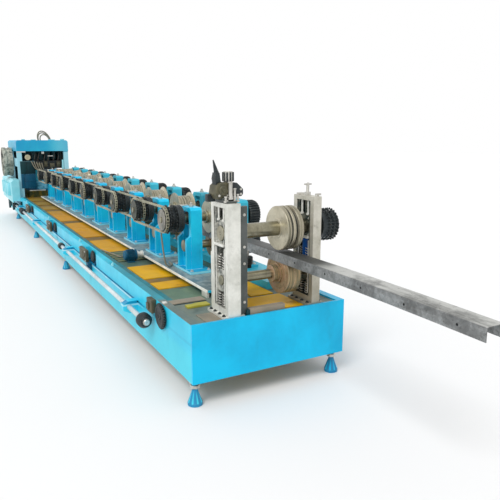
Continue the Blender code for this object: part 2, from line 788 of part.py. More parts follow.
def exit_housing(y, thick, top):
    """A bright housing of the exit stand: frame, guide posts, bearing blocks, screw and base."""
    half = EXIT_LENGTH / 2
    bottom = DECK_TOP + SEAT_GAP
    middle = y + thick / 2
    frame = box((EXIT_X - half, y, bottom), (EXIT_X + half, y + thick, top))
    window = box(
        (EXIT_X - EXIT_WINDOW / 2, y - OVERLAP, bottom + EXIT_SILL),
        (EXIT_X + EXIT_WINDOW / 2, y + thick + OVERLAP, top - EXIT_HEAD),
    )
    base = box(
        (EXIT_X - half - EXIT_BASE_TAIL, y - EXIT_BASE_MARGIN, bottom),
        (EXIT_X + half - SEAT_GAP, y + thick + EXIT_BASE_MARGIN, bottom + EXIT_BASE_THICK),
    )
    reach = EXIT_WINDOW / 2 - EXIT_GUIDE_SLOT
    posts = [
        box(
            (EXIT_X + side - EXIT_GUIDE / 2, y + EXIT_BLOCK_RECESS / 2, bottom + EXIT_SILL / 2),
            (EXIT_X + side + EXIT_GUIDE / 2, y + thick - EXIT_BLOCK_RECESS / 2, top - EXIT_HEAD / 2),
        )
        for side in (EXIT_GUIDE / 2 - reach, reach - EXIT_GUIDE / 2)
    ]
    width = reach - EXIT_GUIDE / 2
    blocks = [
        box(
            (EXIT_X - width, y + EXIT_BLOCK_RECESS, z - height / 2),
            (EXIT_X + width, y + thick - EXIT_BLOCK_RECESS, z + height / 2),
        )
        for z, height in ((EXIT_TOP_AXIS, EXIT_TOP_BLOCK), (EXIT_BOTTOM_AXIS, EXIT_BOTTOM_BLOCK))
    ]
    screw_low = EXIT_TOP_AXIS + EXIT_TOP_BLOCK / 2 - OVERLAP
    screw = turned(
        ((screw_low, STEM_RADIUS * 1.5), (top - EXIT_HEAD / 2, STEM_RADIUS * 1.5)),
        "Z", (EXIT_X, middle, 0), BORE_FACETS,
    )
    bores = [
        bore_tool("Y", y, y + thick, radius, (EXIT_X, 0, z))
        for z, radius in (
            (EXIT_TOP_AXIS, EXIT_TOP_SHAFT),
            (EXIT_BOTTOM_AXIS, EXIT_BOTTOM_SHAFT),
        )
    ]
    return [cut(frame, [window]), base, *posts, *blocks, screw], bores


def exit_near_housing():
    """The near housing with the slotted bracket on its entry side."""
    pieces, bores = exit_housing(EXIT_NEAR_Y, EXIT_NEAR_THICK, EXIT_NEAR_TOP)
    face = EXIT_X - EXIT_LENGTH / 2
    low_y = EXIT_NEAR_Y + (EXIT_NEAR_THICK - SIDE_BRACKET_THICK) / 2
    bottom = DECK_TOP + SEAT_GAP
    bracket = box(
        (face - SIDE_BRACKET_LENGTH, low_y, bottom),
        (face + OVERLAP, low_y + SIDE_BRACKET_THICK, SIDE_BRACKET_TOP),
    )
    slot_x = face - SIDE_BRACKET_LENGTH / 2
    slot = box(
        (slot_x - SIDE_BRACKET_SLOT / 2, low_y - OVERLAP, bottom + EXIT_SILL),
        (slot_x + SIDE_BRACKET_SLOT / 2, low_y + SIDE_BRACKET_THICK + OVERLAP,
         SIDE_BRACKET_TOP - EXIT_HEAD),
    )
    return cut(joined([*pieces, bracket]), [*bores, slot])


def exit_far_housing():
    """The far housing with the spacer that stands between its bearing blocks."""
    pieces, bores = exit_housing(EXIT_FAR_Y, EXIT_FAR_THICK, EXIT_FAR_TOP)
    low = EXIT_BOTTOM_AXIS + EXIT_BOTTOM_BLOCK / 2 - OVERLAP
    high = EXIT_TOP_AXIS - EXIT_TOP_BLOCK / 2 + OVERLAP
    spacer = turned(
        ((low, SPACER_RADIUS), (high, SPACER_RADIUS)),
        "Z", (EXIT_X, EXIT_FAR_Y + EXIT_FAR_THICK / 2, 0), BORE_FACETS,
    )
    return cut(joined([*pieces, spacer]), bores)


def tooth_row(start, x, z):
    """One row of sprocket teeth about an axis along Y."""
    outline = []
    for tooth in range(EXIT_TOOTH_COUNT):
        for share, radius in (
            (-0.32, EXIT_SPROCKET_ROOT),
            (-0.12, EXIT_SPROCKET_RADIUS),
            (0.12, EXIT_SPROCKET_RADIUS),
            (0.32, EXIT_SPROCKET_ROOT),
        ):
            angle = math.tau * (tooth + share) / EXIT_TOOTH_COUNT
            outline.append((x + radius * math.cos(angle), z + radius * math.sin(angle)))
    return prism(outline, "Y", start, start + EXIT_TOOTH_WIDTH)


def exit_top_shaft():
    """The large top roll, its shaft, and the sprocket with three rows of teeth."""
    near = STRIP_MIDDLE - WEB_WIDTH / 2
    groove = near + EXIT_GROOVE_PLACE
    low = EXIT_ROLL_RADIUS - EXIT_GROOVE_DEPTH
    far = near + EXIT_ROLL_WIDTH
    drum = EXIT_SPROCKET_ROOT * math.cos(math.pi / EXIT_TOOTH_COUNT)
    rows = (
        (EXIT_NEAR_Y + EXIT_SHAFT_SETBACK, EXIT_TOP_SHAFT),
        (near, EXIT_TOP_SHAFT),
        (near, EXIT_ROLL_RADIUS),
        (groove, EXIT_ROLL_RADIUS),
        (groove, low),
        (groove + EXIT_GROOVE_WIDTH, low),
        (groove + EXIT_GROOVE_WIDTH, EXIT_ROLL_RADIUS),
        (far, EXIT_ROLL_RADIUS),
        (far, EXIT_TOP_SHAFT),
        (EXIT_SPROCKET_NEAR, EXIT_TOP_SHAFT),
        (EXIT_SPROCKET_NEAR, drum),
        (EXIT_SPROCKET_NEAR + EXIT_SPROCKET_LENGTH, drum),
    )
    pitch = EXIT_SPROCKET_LENGTH / (EXIT_TOOTH_ROWS + 1)
    teeth = [
        tooth_row(EXIT_SPROCKET_NEAR + pitch * (row + 1) - EXIT_TOOTH_WIDTH / 2, EXIT_X, EXIT_TOP_AXIS)
        for row in range(EXIT_TOOTH_ROWS)
    ]
    return joined([turned(rows, "Y", (EXIT_X, 0, EXIT_TOP_AXIS), ROUND_FACETS), *teeth])


def exit_bottom_shaft():
    """The lower roll, whose drum fills the channel from below, with a collar beside it."""
    drum = WEB_TOP - STRIP_THICK - SEAT_GAP - EXIT_BOTTOM_AXIS
    half = WEB_WIDTH / 2 - STRIP_THICK - RUN_GAP
    collar = STRIP_MIDDLE - WEB_WIDTH / 2 - RUN_GAP
    neck = drum - FLANGE_HEIGHT - RUN_GAP
    rows = (
        (EXIT_NEAR_Y + EXIT_SHAFT_SETBACK, EXIT_BOTTOM_SHAFT),
        (collar - EXIT_COLLAR_WIDTH, EXIT_BOTTOM_SHAFT),
        (collar - EXIT_COLLAR_WIDTH, EXIT_COLLAR_RADIUS),
        (collar, EXIT_COLLAR_RADIUS),
        (collar, neck),
        (STRIP_MIDDLE - half, neck),
        (STRIP_MIDDLE - half, drum),
        (STRIP_MIDDLE + half, drum),
        (STRIP_MIDDLE + half, EXIT_BOTTOM_SHAFT),
        (EXIT_FAR_Y + EXIT_FAR_THICK + EXIT_SHAFT_TAIL, EXIT_BOTTOM_SHAFT),
    )
    return turned(rows, "Y", (EXIT_X, 0, EXIT_BOTTOM_AXIS), ROUND_FACETS)


def screw_down():
    """Worm gearbox with its knob and lever on top of the near exit housing."""
    y = EXIT_NEAR_Y + EXIT_NEAR_THICK / 2
    low = EXIT_NEAR_TOP + SEAT_GAP
    waist = low + SADDLE_HEIGHT
    high = waist + GEARBOX_HEIGHT
    half = GEARBOX_LENGTH / 2
    post_near = y - GEARBOX_NEAR
    saddle = box(
        (EXIT_X - half, y - EXIT_NEAR_THICK / 2, low),
        (EXIT_X + half, y + EXIT_NEAR_THICK / 2, waist + OVERLAP),
    )
    body = prism(
        ((post_near, waist), (post_near - OVERLAP, high - OVERLAP), (post_near, high),
         (y + GEARBOX_FAR - OVERLAP, high), (y + GEARBOX_FAR, high - OVERLAP),
         (y + GEARBOX_FAR, waist + OVERLAP), (y + GEARBOX_FAR - OVERLAP, waist)),
        "X", EXIT_X - half, EXIT_X + half,
    )
    knob_top = high + KNOB_HEIGHT
    knob = turned(
        ((high - OVERLAP, KNOB_RADIUS * 0.6), (high + OVERLAP, KNOB_RADIUS * 0.6),
         (high + 2 * OVERLAP, KNOB_RADIUS), (knob_top - OVERLAP, KNOB_RADIUS),
         (knob_top, KNOB_RADIUS * 0.8)),
        "Z", (EXIT_X, y + KNOB_OFFSET, 0), ROUND_FACETS,
    )
    post = prism(
        ((post_near + OVERLAP, high - OVERLAP), (post_near + OVERLAP, knob_top - OVERLAP),
         (post_near + LEVER_POST, knob_top - OVERLAP), (post_near + LEVER_POST + OVERLAP, high - OVERLAP)),
        "X", EXIT_X - half / 2, EXIT_X + half / 2,
    )
    lever = turned(
        ((-OVERLAP, LEVER_BASE), (LEVER_LENGTH, LEVER_TIP)), "Z", (0, 0, 0), BORE_FACETS,
    )
    foot_place = (EXIT_X, post_near + LEVER_POST / 2 + OVERLAP, knob_top - 2 * OVERLAP)
    lean = Matrix.Rotation(math.radians(LEVER_LEAN), 4, "X")
    lever.data.transform(Matrix.Translation(foot_place) @ lean)
    return joined([body, saddle, knob, post, lever])


def far_screw():
    """Adjusting screw and cross handle on the far exit housing."""
    y = EXIT_FAR_Y + EXIT_FAR_THICK / 2
    low = EXIT_FAR_TOP + SEAT_GAP
    neck = low + SCREW_COLLAR
    stem = turned(
        ((low, SCREW_RADIUS), (neck, SCREW_RADIUS), (neck, STEM_RADIUS), (low + STEM_HEIGHT, STEM_RADIUS)),
        "Z", (EXIT_X, y, 0), BORE_FACETS,
    )
    bar = turned(
        ((-CROSS_BAR_REACH, CROSS_BAR_RADIUS), (CROSS_BAR_REACH, CROSS_BAR_RADIUS)),
        "Y", (EXIT_X, y, low + STEM_HEIGHT - 2 * CROSS_BAR_RADIUS), BORE_FACETS,
    )
    return joined([stem, bar])


def side_guide():
    """A pad on a post that steadies the near flange just before the exit stand."""
    y = STRIP_MIDDLE - WEB_WIDTH / 2 - RUN_GAP - GUIDE_RADIUS
    post_y = RAIL_FRONT + RAIL_DEPTH - GUIDE_POST
    x = -GUIDE_PLACE
    half = GUIDE_POST / 2
    under = GUIDE_BOTTOM - GUIDE_ARM_THICK
    post = box((x - half, post_y - half, DECK_TOP + SEAT_GAP), (x + half, post_y + half, GUIDE_BOTTOM))
    arm = box((x - half / 2, post_y, under), (x + half / 2, y + half, GUIDE_BOTTOM + OVERLAP / 2))
    pad_top = GUIDE_BOTTOM + GUIDE_HEIGHT
    pad = turned(
        ((GUIDE_BOTTOM, GUIDE_RADIUS), (pad_top, GUIDE_RADIUS),
         (pad_top, GUIDE_BOLT_RADIUS), (GUIDE_BOLT_TOP, GUIDE_BOLT_RADIUS)),
        "Z", (x, y, 0), FACETS,
    )
    return joined([post, arm, pad])


def adjusting_motor():
    """Small motor on its foot, whose axis lies across the bed."""
    end = RAIL_FRONT - COUPLING_LENGTH
    start = end - MOTOR_LENGTH
    x = -MOTOR_PLACE
    drum = turned(
        ((start, MOTOR_RADIUS * 0.85), (start + MOTOR_CAP, MOTOR_RADIUS),
         (end - SEAT_GAP, MOTOR_RADIUS)),
        "Y", (x, 0, MOTOR_AXIS), ROUND_FACETS,
    )
    base = box(
        (x - MOTOR_FOOT / 2, start + MOTOR_CAP, DECK_TOP + SEAT_GAP),
        (x + MOTOR_FOOT / 2, end - MOTOR_CAP, MOTOR_AXIS),
    )
    return joined([drum, base])


def motor_coupling():
    """The bright coupling between the motor and the rail's edge."""
    end = RAIL_FRONT - SEAT_GAP
    start = RAIL_FRONT - COUPLING_LENGTH
    third = COUPLING_LENGTH / 3
    rows = (
        (start, COUPLING_RADIUS),
        (start + third, COUPLING_RADIUS),
        (start + third, COUPLING_RADIUS * 0.7),
        (end - third, COUPLING_RADIUS * 0.7),
        (end - third, COUPLING_RADIUS),
        (end, COUPLING_RADIUS),
    )
    return turned(rows, "Y", (-MOTOR_PLACE, 0, MOTOR_AXIS), ROUND_FACETS)


def line_shaft():
    """The long shaft with its bevel pinion and the stub in front of it."""
    start = -LINE_SHAFT_START
    rows = (
        (-LINE_SHAFT_END, LINE_SHAFT_RADIUS),
        (start - LINE_PINION_LENGTH, LINE_SHAFT_RADIUS),
        (start - LINE_PINION_LENGTH, LINE_PINION_RADIUS),
        (start - LINE_PINION_BEVEL, LINE_PINION_RADIUS),
        (start, LINE_PINION_RADIUS * 0.7),
        (start, LINE_SHAFT_RADIUS),
        (start + LINE_STUB_LENGTH, LINE_SHAFT_RADIUS),
    )
    return turned(rows, "X", (0, LINE_SHAFT_Y, LINE_SHAFT_Z), ROUND_FACETS)


def cross_gear(x, z, y, radius):
    """The gear on the near end of a cross screw, with its journal through the bed's side."""
    rows = (
        (y, radius * 0.9),
        (y + CROSS_GEAR_WIDTH * 0.3, radius),
        (y + CROSS_GEAR_WIDTH, radius),
        (y + CROSS_GEAR_WIDTH, CROSS_PIN_RADIUS),
        (CROSS_PIN_REACH, CROSS_PIN_RADIUS),
    )
    return turned(rows, "Y", (x, 0, z), ROUND_FACETS if radius == FIRST_CROSS_RADIUS else FACETS)


def head_span(gap):
    """The clear length between the head's columns, less a gap at each end."""
    low = -HEAD_START - HEAD_LENGTH + COLUMN_SIDE + gap
    return low, -HEAD_START - COLUMN_SIDE - gap


def head_frame():
    """Punching head: four columns, their top beam, the wheel's carrier and a guard plate
    beside the near column, in one welded frame."""
    x1 = -HEAD_START
    x0 = x1 - HEAD_LENGTH
    y1 = HEAD_WIDTH - COLUMN_SIDE - COLUMN_INSET
    beam = prism(
        ((0, HEAD_BEAM_BOTTOM), (0, HEAD_BEAM_TOP - BEAM_CHAMFER), (BEAM_CHAMFER, HEAD_BEAM_TOP),
         (HEAD_WIDTH - BEAM_CHAMFER, HEAD_BEAM_TOP), (HEAD_WIDTH, HEAD_BEAM_TOP - BEAM_CHAMFER),
         (HEAD_WIDTH, HEAD_BEAM_BOTTOM)),
        "X", x0, x1,
    )
    columns = [
        box((x, y, seat + SEAT_GAP), (x + COLUMN_SIDE, y + COLUMN_SIDE, HEAD_BEAM_BOTTOM + OVERLAP))
        for x in (x0 + OVERLAP, x1 - COLUMN_SIDE - OVERLAP)
        for y, seat in ((COLUMN_NEAR, BED_TOP), (y1, DECK_TOP))
    ]
    carrier = box(
        (x0 + 2 * OVERLAP, COLUMN_NEAR - OVERLAP / 2, WHEEL_AXIS_Z - CARRIER_HEIGHT / 2),
        (x1 - 2 * OVERLAP, COLUMN_NEAR + CARRIER_DEPTH, WHEEL_AXIS_Z + CARRIER_HEIGHT / 2),
    )
    guard = box(
        (x1 - OVERLAP - GUARD_THICK, COLUMN_NEAR + COLUMN_SIDE - OVERLAP, GUARD_BOTTOM),
        (x1 - 2 * OVERLAP, GUARD_REACH, GUARD_TOP),
    )
    return joined([beam, *columns, carrier, guard])


def head_bolster():
    """Lower block of the punching head under the strip, with a step down to the near side."""
    x0, x1 = head_span(BOLSTER_GAP)
    far = BED_WIDTH - BOLSTER_REAR_SETBACK
    step = BOLSTER_TOP - BOLSTER_STEP_HEIGHT
    base = DECK_TOP + SEAT_GAP
    outline = (
        (BOLSTER_NEAR, base), (BOLSTER_NEAR, step), (BOLSTER_NEAR + BOLSTER_STEP, step),
        (BOLSTER_NEAR + BOLSTER_STEP, BOLSTER_TOP), (far, BOLSTER_TOP), (far, base),
    )
    return prism(outline, "X", x0, x1)


def head_ram():
    """Punch block that hangs from the head's beam on four guide posts, with its two punches."""
    x0, x1 = head_span(RAM_GAP)
    far = BED_WIDTH - RAM_REAR_SETBACK
    block = box((x0, RAM_NEAR, RAM_BOTTOM), (x1, far, RAM_BOTTOM + RAM_HEIGHT))
    posts = [
        turned(
            ((RAM_BOTTOM + OVERLAP, RAM_POST_RADIUS), (HEAD_BEAM_BOTTOM - SEAT_GAP, RAM_POST_RADIUS)),
            "Z", (x, y, 0), BORE_FACETS,
        )
        for x in (x0 + RAM_POST_INSET, x1 - RAM_POST_INSET)
        for y in (RAM_NEAR + RAM_POST_INSET, far - RAM_POST_INSET)
    ]
    third = (x1 - x0) / 3
    punches = [
        turned(
            ((PUNCH_BOTTOM, PUNCH_RADIUS * 0.6), (PUNCH_BOTTOM + OVERLAP, PUNCH_RADIUS),
             (RAM_BOTTOM + OVERLAP, PUNCH_RADIUS)),
            "Z", (x, STRIP_MIDDLE, 0), BORE_FACETS,
        )
        for x in (x0 + third, x1 - third)
    ]
    return joined([block, *posts, *punches])


def side_box():
    """Casing on the near side of the head, open underneath where the line shaft passes."""
    x1 = SIDE_BOX_LEAD - HEAD_START
    x0 = x1 - SIDE_BOX_LENGTH
    outline = (
        (-SEAT_GAP, SIDE_BOX_BOTTOM), (-SEAT_GAP, SIDE_BOX_TOP),
        (SIDE_BOX_CHAMFER - SIDE_BOX_DEPTH, SIDE_BOX_TOP),
        (-SIDE_BOX_DEPTH, SIDE_BOX_TOP - SIDE_BOX_CHAMFER),
        (-SIDE_BOX_DEPTH, SIDE_BOX_BOTTOM),
    )
    passage = box(
        (x0 - OVERLAP, LINE_SHAFT_Y - LINE_SHAFT_RADIUS - SIDE_BOX_SHAFT_GAP, BED_BOTTOM),
        (x1 + OVERLAP, OVERLAP, SIDE_BOX_BOTTOM + SIDE_BOX_RELIEF),
    )
    return cut(prism(outline, "X", x0, x1), [passage])


def drive_wheel():
    """The head's wheel: rim, thin web with round openings, and a hub on the carrier."""
    x = -HEAD_START - HEAD_LENGTH / 2
    back = WHEEL_FACE_Y + WHEEL_WIDTH
    web = WHEEL_FACE_Y + WHEEL_INSET
    inner = WHEEL_RADIUS - WHEEL_RIM
    seat = COLUMN_NEAR - OVERLAP / 2 - SEAT_GAP
    rows = (
        (WHEEL_FACE_Y, WHEEL_HUB),
        (web, WHEEL_HUB),
        (web, inner),
        (WHEEL_FACE_Y, inner),
        (WHEEL_FACE_Y, WHEEL_RADIUS),
        (back, WHEEL_RADIUS),
        (back, inner),
        (web + WHEEL_WEB, inner),
        (web + WHEEL_WEB, WHEEL_HUB),
        (seat, WHEEL_HUB),
    )
    disc = turned(rows, "Y", (x, 0, WHEEL_AXIS_Z), ROUND_FACETS)
    middle = (inner + WHEEL_HUB) / 2
    openings = []
    for number in range(WHEEL_HOLES):
        angle = math.tau * number / WHEEL_HOLES
        place = (x + middle * math.cos(angle), 0, WHEEL_AXIS_Z + middle * math.sin(angle))
        openings.append(turned(
            ((WHEEL_FACE_Y - OVERLAP, WHEEL_HOLE_RADIUS), (back + OVERLAP, WHEEL_HOLE_RADIUS)),
            "Y", place, BORE_FACETS,
        ))
    return cut(disc, openings)


def hose():
    """A hose that arches over the head's beam between two sockets."""
    x = -HEAD_START - HOSE_PLACE
    curve = bpy.data.curves.new("hose", "CURVE")
    curve.dimensions = "3D"
    curve.bevel_depth = HOSE_RADIUS
    curve.bevel_resolution = 1
    curve.use_fill_caps = True
    line = curve.splines.new("POLY")
    foot_z = HEAD_BEAM_TOP + SEAT_GAP
    spring = foot_z + HOSE_STRAIGHT
    rise = HOSE_TOP - HOSE_RADIUS - spring
    route = [(x, HOSE_MIDDLE - HOSE_REACH, foot_z)]
    for index in range(HOSE_STEPS + 1):
        turn = math.pi * index / HOSE_STEPS
        y = HOSE_MIDDLE - HOSE_REACH * math.cos(turn)
        route.append((x, y, spring + rise * math.sin(turn)))
    route.append((x, HOSE_MIDDLE + HOSE_REACH, foot_z))
    line.points.add(len(route) - 1)
    for point, place in zip(line.points, route):
        point.co = (*place, 1)
    piece = bpy.data.objects.new("hose", curve)
    CUTTERS.objects.link(piece)
    graph = bpy.context.evaluated_depsgraph_get()
    mesh = bpy.data.meshes.new_from_object(piece.evaluated_get(graph))
    bpy.data.objects.remove(piece, do_unlink=True)
    shape = bmesh.new()
    shape.from_mesh(mesh)
    bmesh.ops.remove_doubles(shape, verts=shape.verts, dist=MERGE)
    return raw("hose", shape)


keep(side_beam(True), "bed_near_side", CYAN)
keep(side_beam(False), "bed_far_side", CYAN)
keep(end_plate(-END_PLATE), "bed_exit_plate", CYAN)
keep(end_plate(-BED_LENGTH), "bed_entry_plate", CYAN)
keep(deck(), "deck_plate", DECK_GREEN)
keep(tray(), "cover_panels", YELLOW)
half_count = STAND_COUNT // 2
keep(stand_row(0, half_count - 1, NEAR_HOUSING_Y, -1), "near_stands_exit_half", CYAN)
keep(stand_row(half_count, STAND_COUNT - 1, NEAR_HOUSING_Y, -1), "near_stands_entry_half", CYAN)
keep(stand_row(0, half_count - 1, FAR_HOUSING_Y, 1), "far_stands_exit_half", CYAN)
keep(stand_row(half_count, STAND_COUNT - 1, FAR_HOUSING_Y, 1), "far_stands_entry_half", CYAN)
for number in range(STAND_COUNT):
    label = f"{number + 1:02d}"
    keep(top_shaft(number), "top_roll_shaft_" + label, STEEL, (stand_x(number), 0, TOP_AXIS))
    keep(bottom_shaft(number), "bottom_roll_shaft_" + label, STEEL, (stand_x(number), 0, BOTTOM_AXIS))
for number in range(STAND_COUNT - 1):
    keep(chain(number), f"drive_chain_{number + 1:02d}", DARK)
keep(channel(), "formed_channel", GALVANISED)
keep(exit_near_housing(), "exit_near_housing", SILVER)
keep(exit_far_housing(), "exit_far_housing", SILVER)
keep(exit_top_shaft(), "exit_top_roll_shaft", STEEL, (EXIT_X, 0, EXIT_TOP_AXIS))
keep(exit_bottom_shaft(), "exit_bottom_roll_shaft", STEEL, (EXIT_X, 0, EXIT_BOTTOM_AXIS))
keep(screw_down(), "screw_down_gearbox", DARK)
keep(far_screw(), "far_adjusting_screw", STEEL)
keep(side_guide(), "side_guide", DARK)
keep(adjusting_motor(), "adjusting_motor", MOTOR_BLUE)
keep(motor_coupling(), "motor_coupling", SILVER)
keep(line_shaft(), "line_shaft", STEEL, (0, LINE_SHAFT_Y, LINE_SHAFT_Z))
for number, (x, z, y, radius) in enumerate(cross_places()):
    keep(cross_gear(x, z, y, radius), f"cross_gear_{number + 1}", DARK, (x, y, z))
keep(head_frame(), "head_frame", CYAN)
keep(head_bolster(), "head_bolster", CYAN)
keep(head_ram(), "head_ram", DARK)
keep(side_box(), "side_box", CYAN)
keep(drive_wheel(), "drive_wheel", DARK)
keep(hose(), "head_hose", DARK)
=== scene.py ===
"""Looks of the roll forming machine: finishes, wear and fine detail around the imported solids."""

import json
import math

import bmesh
import bpy
from mathutils import Matrix, Vector


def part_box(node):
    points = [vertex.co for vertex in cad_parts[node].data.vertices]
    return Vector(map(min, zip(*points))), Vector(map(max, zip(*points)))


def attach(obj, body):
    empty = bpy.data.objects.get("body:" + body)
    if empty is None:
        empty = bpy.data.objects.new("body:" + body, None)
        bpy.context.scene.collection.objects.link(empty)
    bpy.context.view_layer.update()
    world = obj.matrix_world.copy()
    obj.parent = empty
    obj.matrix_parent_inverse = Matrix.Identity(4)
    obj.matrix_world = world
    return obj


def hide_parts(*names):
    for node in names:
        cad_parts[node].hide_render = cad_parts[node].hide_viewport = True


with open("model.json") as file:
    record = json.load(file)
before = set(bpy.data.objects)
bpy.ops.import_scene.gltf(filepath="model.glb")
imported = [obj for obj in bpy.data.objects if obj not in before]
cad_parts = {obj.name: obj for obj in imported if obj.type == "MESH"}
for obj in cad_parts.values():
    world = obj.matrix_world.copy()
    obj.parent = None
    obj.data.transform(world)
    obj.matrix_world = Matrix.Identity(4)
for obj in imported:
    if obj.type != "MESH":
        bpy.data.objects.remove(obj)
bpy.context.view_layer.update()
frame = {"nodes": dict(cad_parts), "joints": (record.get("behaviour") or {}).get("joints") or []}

# Places taken from the frame. The machine's own corner is where the exit end plate, the
# bed's near face and the floor meet; x runs towards the exit, y away from the near side. SEAT is
# the gap that pieces keep where they touch.
CORNER = Vector((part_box("bed_exit_plate")[1].x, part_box("bed_exit_plate")[0].y, 0))
AXES = {joint["name"]: Vector(joint["pos_m"]) for joint in frame["joints"]}
STANDS = sum(name.startswith("top_roll_") for name in AXES)
BED_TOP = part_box("bed_near_side")[1].z
BED_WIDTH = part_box("bed_exit_plate")[1].y - CORNER.y
DECK_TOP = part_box("deck_plate")[1].z
PANEL_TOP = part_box("cover_panels")[1].z
SEAT = 0.0003


def at(x, y, z):
    """A point given from the machine's own corner."""
    return CORNER + Vector((x, y, z))


def span(node):
    """A node's lowest and highest corners, from the machine's own corner."""
    low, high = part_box(node)
    return low - CORNER, high - CORNER


# Camera at the photograph's place and angle
CAMERA_PLACE = at(2.984, -1.232, 1.698)
CAMERA_PITCH = math.radians(-11.33)
CAMERA_HEADING = math.atan2(0.474, -0.858)
CAMERA_LENS = 38.89
camera = bpy.data.objects.new("camera", bpy.data.cameras.new("camera"))
camera.data.lens = CAMERA_LENS
camera.data.sensor_width = 36
camera.data.clip_end = 100
ahead = Vector((
    math.cos(CAMERA_PITCH) * math.cos(CAMERA_HEADING),
    math.cos(CAMERA_PITCH) * math.sin(CAMERA_HEADING),
    math.sin(CAMERA_PITCH),
))
camera.matrix_world = Matrix.Translation(CAMERA_PLACE) @ ahead.to_track_quat("-Z", "Y").to_matrix().to_4x4()
bpy.context.scene.collection.objects.link(camera)
bpy.context.scene.camera = camera


class Wire:
    """A socket of a node tree. Arithmetic on wires adds Math nodes to the tree."""

    def __init__(self, tree, socket=None):
        self.tree = tree
        self.socket = socket

    def node(self, kind, settings=None, sockets=None, output=0):
        """Adds a node: its settings first, then its sockets' values or links."""
        made = self.tree.nodes.new(kind)
        for name, value in (settings or {}).items():
            setattr(made, name, value)
        for place, value in (sockets or {}).items():
            if isinstance(value, Wire):
                self.tree.links.new(value.socket, made.inputs[place])
            else:
                made.inputs[place].default_value = value
        return Wire(self.tree, made.outputs[output])

    def maths(self, operation, *values):
        """A Math node on wires or numbers."""
        return self.node("ShaderNodeMath", {"operation": operation}, dict(enumerate(values)))

    def through(self, operation, *others):
        """This value put through a Math node, with the node's other values."""
        return self.maths(operation, self, *others)

    def __add__(self, other):
        return self.maths("ADD", self, other)

    def __radd__(self, other):
        return self.maths("ADD", other, self)

    def __sub__(self, other):
        return self.maths("SUBTRACT", self, other)

    def __rsub__(self, other):
        return self.maths("SUBTRACT", other, self)

    def __mul__(self, other):
        return self.maths("MULTIPLY", self, other)

    def __rmul__(self, other):
        return self.maths("MULTIPLY", other, self)

    def __truediv__(self, other):
        return self.maths("DIVIDE", self, other)

    def between(self, low, high):
        """0 where this value is low, 1 where it is high, and a smooth step between them."""
        return self.node(
            "ShaderNodeMapRange", {"interpolation_type": "SMOOTHSTEP"}, {"Value": self, 1: low, 2: high}
        )


def linear(red, green, blue):
    """A screen colour from 0 to 255 as the linear colour that shaders take."""
    def one(value):
        value /= 255
        return value / 12.92 if value <= 0.04045 else ((value + 0.055) / 1.055) ** 2.4
    return (one(red), one(green), one(blue), 1)


class Finish:
    """A material in the making: its shader, its coordinates and the patterns they carry."""

    def __init__(self, name):
        self.material = bpy.data.materials.new(name)
        self.material.use_nodes = True
        self.tree = self.material.node_tree
        self.shader = self.tree.nodes["Principled BSDF"]
        self.any = Wire(self.tree)
        self.place = self.any.node("ShaderNodeTexCoord", output=3)

    def stretched(self, scale, shift=(0, 0, 0)):
        """The piece's coordinates, stretched and shifted along its axes."""
        return self.any.node("ShaderNodeMapping", {}, {
            "Vector": self.place, "Scale": scale, "Location": shift,
        })

    def noise(self, scale, detail=4, rough=0.6, where=None):
        """Cloudy noise from 0 to 1."""
        return self.any.node("ShaderNodeTexNoise", {}, {
            "Vector": where or self.place, "Scale": scale, "Detail": detail, "Roughness": rough,
        })

    def flecks(self, scale):
        """Cells of random size, each of its own random colour."""
        return self.any.node("ShaderNodeTexVoronoi", {}, {"Vector": self.place, "Scale": scale}, 1)

    def edges(self, radius):
        """1 along the piece's sharp edges, 0 elsewhere."""
        soft = self.any.node("ShaderNodeBevel", {"samples": 4}, {"Radius": radius})
        hard = self.any.node("ShaderNodeNewGeometry", output=1)
        along = self.any.node("ShaderNodeVectorMath", {"operation": "DOT_PRODUCT"}, {0: soft, 1: hard}, 1)
        return along.between(0.99, 0.80)

    def upward(self):
        """1 where a face looks up, 0 where it is upright."""
        normal = self.any.node("ShaderNodeNewGeometry", output=1)
        height = self.any.node("ShaderNodeSeparateXYZ", {}, {0: normal}, 2)
        return height.between(0.3, 0.95)

    def spot(self, node=None):
        """x, y and z from the machine's own corner, for a CAD node or for a piece made here."""
        home = frame["nodes"][node].matrix_world.translation if node else Vector((0, 0, 0))
        here = self.stretched((1, 1, 1), home - CORNER)
        return [self.any.node("ShaderNodeSeparateXYZ", {}, {0: here}, part) for part in range(3)]

    def facing(self, way):
        """1 where a face looks along the direction, 0 where it looks elsewhere."""
        normal = self.any.node("ShaderNodeNewGeometry", output=1)
        along = self.any.node("ShaderNodeVectorMath", {"operation": "DOT_PRODUCT"}, {0: normal, 1: way}, 1)
        return along.between(0.6, 0.9)

    def blend(self, share, first, second):
        """One colour turning into another as share goes from 0 to 1."""
        return self.any.node(
            "ShaderNodeMix", {"data_type": "RGBA"}, {0: share, 6: first, 7: second}, 2
        )

    def bump(self, height, depth, strength):
        """A normal bent by a height map; depth is in metres."""
        return self.any.node("ShaderNodeBump", {}, {
            "Height": height, "Distance": depth, "Strength": strength,
        })

    def feed(self, **sockets):
        """Sets or links the shader's sockets, with spaces written as underscores."""
        for name, value in sockets.items():
            target = self.shader.inputs[name.replace("_", " ")]
            if isinstance(value, Wire):
                self.tree.links.new(value.socket, target)
            else:
                target.default_value = value
        return self.material


def within(value, low, high, soft=0.002):
    """1 while the value lies between two limits, 0 outside them."""
    return value.between(low - soft, low + soft) * value.between(high + soft, high - soft)


